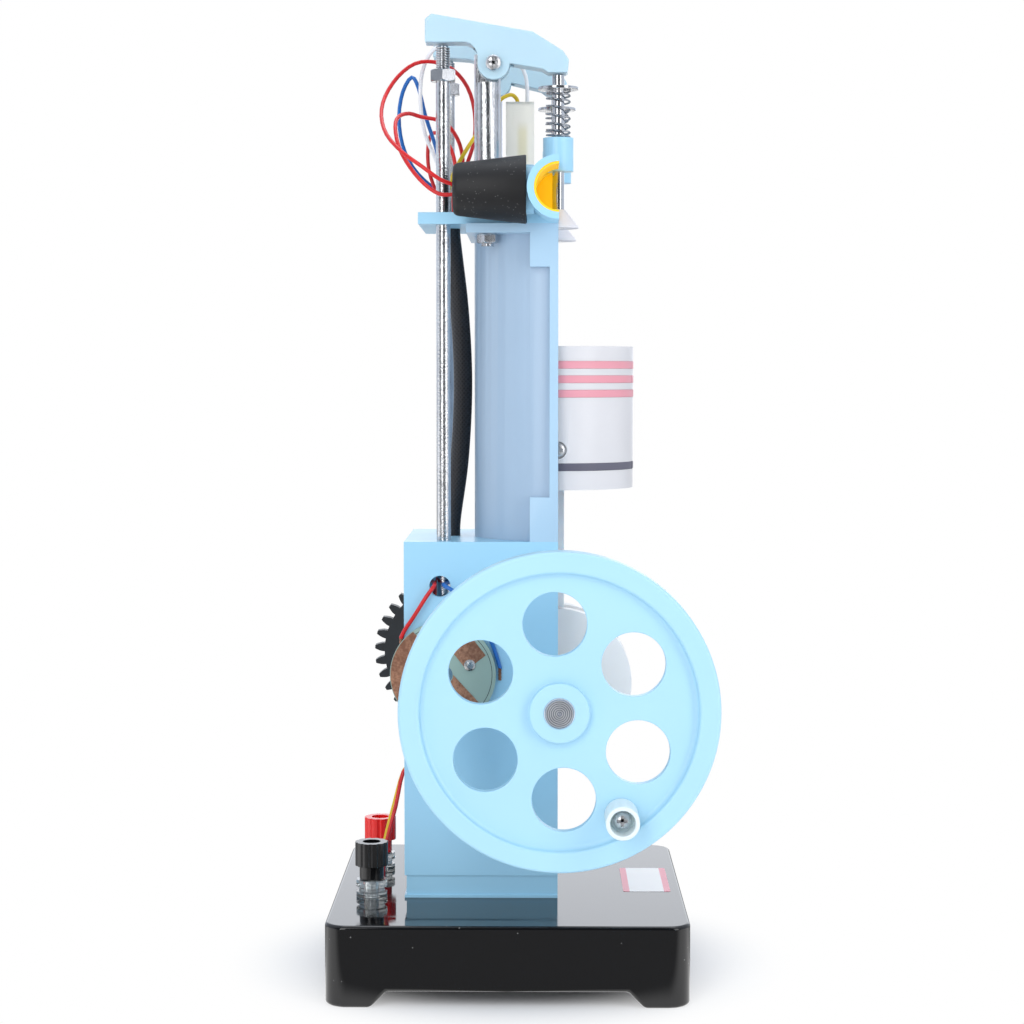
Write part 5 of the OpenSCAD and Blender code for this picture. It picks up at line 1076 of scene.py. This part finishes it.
# Contact disc: bare glass-fibre circuit board with two etched copper patches, soldered at their corners.
# The bared ends of the two leads stand on the wall beside it.
def board_line(tree, position, colour):
    """Etched line, 0.3 mm wide, that runs 1.6 mm inside the disc's edge"""
    centred = add_node(tree, "ShaderNodeMapping", {"Location": (-CAM_X * MM, 0, -CAM_Z * MM),
        "Scale": (1, 0, 1), "Vector": position})
    reach = add_node(tree, "ShaderNodeVectorMath", {0: centred.outputs[0]}, operation="LENGTH")
    away = add_node(tree, "ShaderNodeMath", {0: reach.outputs["Value"], 1: LINE_REACH * MM},
        operation="SUBTRACT")
    size = add_node(tree, "ShaderNodeMath", {0: away.outputs[0]}, operation="ABSOLUTE")
    line = add_node(tree, "ShaderNodeMath", {0: size.outputs[0], 1: LINE_W / 2 * MM},
        operation="LESS_THAN")
    mixed = add_node(tree, "ShaderNodeMix", {"A": linear(colour), "B": linear("#4A5450"),
        "Factor": line.outputs[0]}, data_type="RGBA")
    return mixed.outputs["Result"]


def dull_copper():
    """Etched copper foil, browned by age: half metallic, with dark spots of 1 mm and stains of 6 mm"""
    material, tree, spot = new_material("oxidised_copper_foil")
    stain = add_node(tree, "ShaderNodeTexNoise", {"Scale": 160, "Detail": 5, "Vector": spot})
    spots = add_node(tree, "ShaderNodeTexNoise", {"Scale": 900, "Detail": 3, "Vector": spot})
    both = add_node(tree, "ShaderNodeMath", {0: stain.outputs["Fac"], 1: spots.outputs["Fac"]},
        operation="MULTIPLY")
    amount = add_node(tree, "ShaderNodeMapRange", {"From Min": 0.16, "From Max": 0.36,
        "Value": both.outputs[0]})
    shade = add_node(tree, "ShaderNodeMix", {"A": linear("#8C5F49"), "B": linear("#BF8B6D"),
        "Factor": amount.outputs[0]}, data_type="RGBA")
    dull = add_node(tree, "ShaderNodeMapRange", {"To Min": 0.38, "To Max": 0.62,
        "Value": stain.outputs["Fac"]})
    surface = add_node(tree, "ShaderNodeBsdfPrincipled",
        {"Metallic": 0.45, "Base Color": shade.outputs["Result"], "Roughness": dull.outputs[0]})
    return finish_material(material, surface)


LINE_REACH, LINE_W = 20.4, 0.3
laminate = moulded_abs("glass_fibre_laminate", "#9DB4A8", gloss=0.4, glow=0.0, tint=board_line)
foil = dull_copper()
for node, finish in (("contact_disc", laminate), ("contact_sectors", foil)):
    finish_node(node, finish)
solder = plated_steel("tin_solder", "#B5B7B8", rough=0.24, half_pitch=1.0, direction="Z", mottle=0.9)
blob_profile = [(0, 2.4), (0.35, 2.35), (0.75, 1.9), (1.05, 1.2), (1.2, 0.4), (1.2, 0.1)]
BLOB_REACH, FOIL_Y = 11.8, -32.85
for k, turn in enumerate((20, 200)):
    name = f"solder_joint_{k + 1}"
    blob_x = CAM_X + BLOB_REACH * math.cos(math.radians(turn))
    blob_z = CAM_Z + BLOB_REACH * math.sin(math.radians(turn))
    blob = lathe(name, blob_profile, (blob_x, FOIL_Y, blob_z), (0, -1, 0), sides=24)
    place_piece(name, blob, solder, "cam", ["disc_screws"] if k == 0 else ())
BARE_L, BARE_Y = 5, -30.2
for k, (x, _, z) in enumerate(LEAD_ENDS):
    name = f"bare_lead_end_{k + 1}"
    lower_end = Matrix.Translation(Vector((x, BARE_Y, z - BARE_L)) * MM)
    work = bmesh.new()
    for turn in (0, 120, 240):
        strand = wound(f"bare_strand_{k + 1}", (0, 0, 0), radius=0.36, height=BARE_L, turns=1.2,
            wire_radius=0.33, closing=0.0, material=foil)
        strand.transform(lower_end @ Matrix.Rotation(math.radians(turn), 4, "Z"))
        work.from_mesh(strand)
    twisted = bpy.data.meshes.new(name)
    work.to_mesh(twisted)
    work.free()
    twisted.shade_smooth()
    place_piece(name, twisted, foil, "frame", ["brushes"] if k == 0 else ())

# Terminals: a black and a red fluted knob on studs, over clear acrylic collars.
# They bring the lamps' supply to the base.
def clear_acrylic():
    """Clear acrylic: see-through, with a slight haze of 3 mm patches"""
    material, tree, spot = new_material("clear_acrylic")
    haze = add_node(tree, "ShaderNodeTexNoise", {"Scale": 330, "Detail": 2, "Vector": spot})
    dull = add_node(tree, "ShaderNodeMapRange", {"To Min": 0.02, "To Max": 0.06,
        "Value": haze.outputs["Fac"]})
    surface = add_node(tree, "ShaderNodeBsdfPrincipled",
        {"Base Color": linear("#EEF3F4"), "IOR": 1.49, "Transmission Weight": 0.85,
        "Roughness": dull.outputs[0]})
    return finish_material(material, surface)


collars = rounded_copy("terminal_collars", width=0.3)
place_piece("terminal_collar_rings", collars, clear_acrylic(), "frame",
    ["terminal_collars"])
black_abs = moulded_abs("black_abs", "#0A0A0C", gloss=0.2)
red_abs = moulded_abs("red_abs", "#F41510", gloss=0.24)
for colour, finish, slot in (("black", black_abs, "black_gloss"), ("red", red_abs, "red_plastic")):
    node = f"terminal_knob_{colour}"
    knob = rounded_copy(node, width=0.4, segments=3)
    place_piece(f"{node}_moulding", knob, finish, f"knob_{colour}", [node])
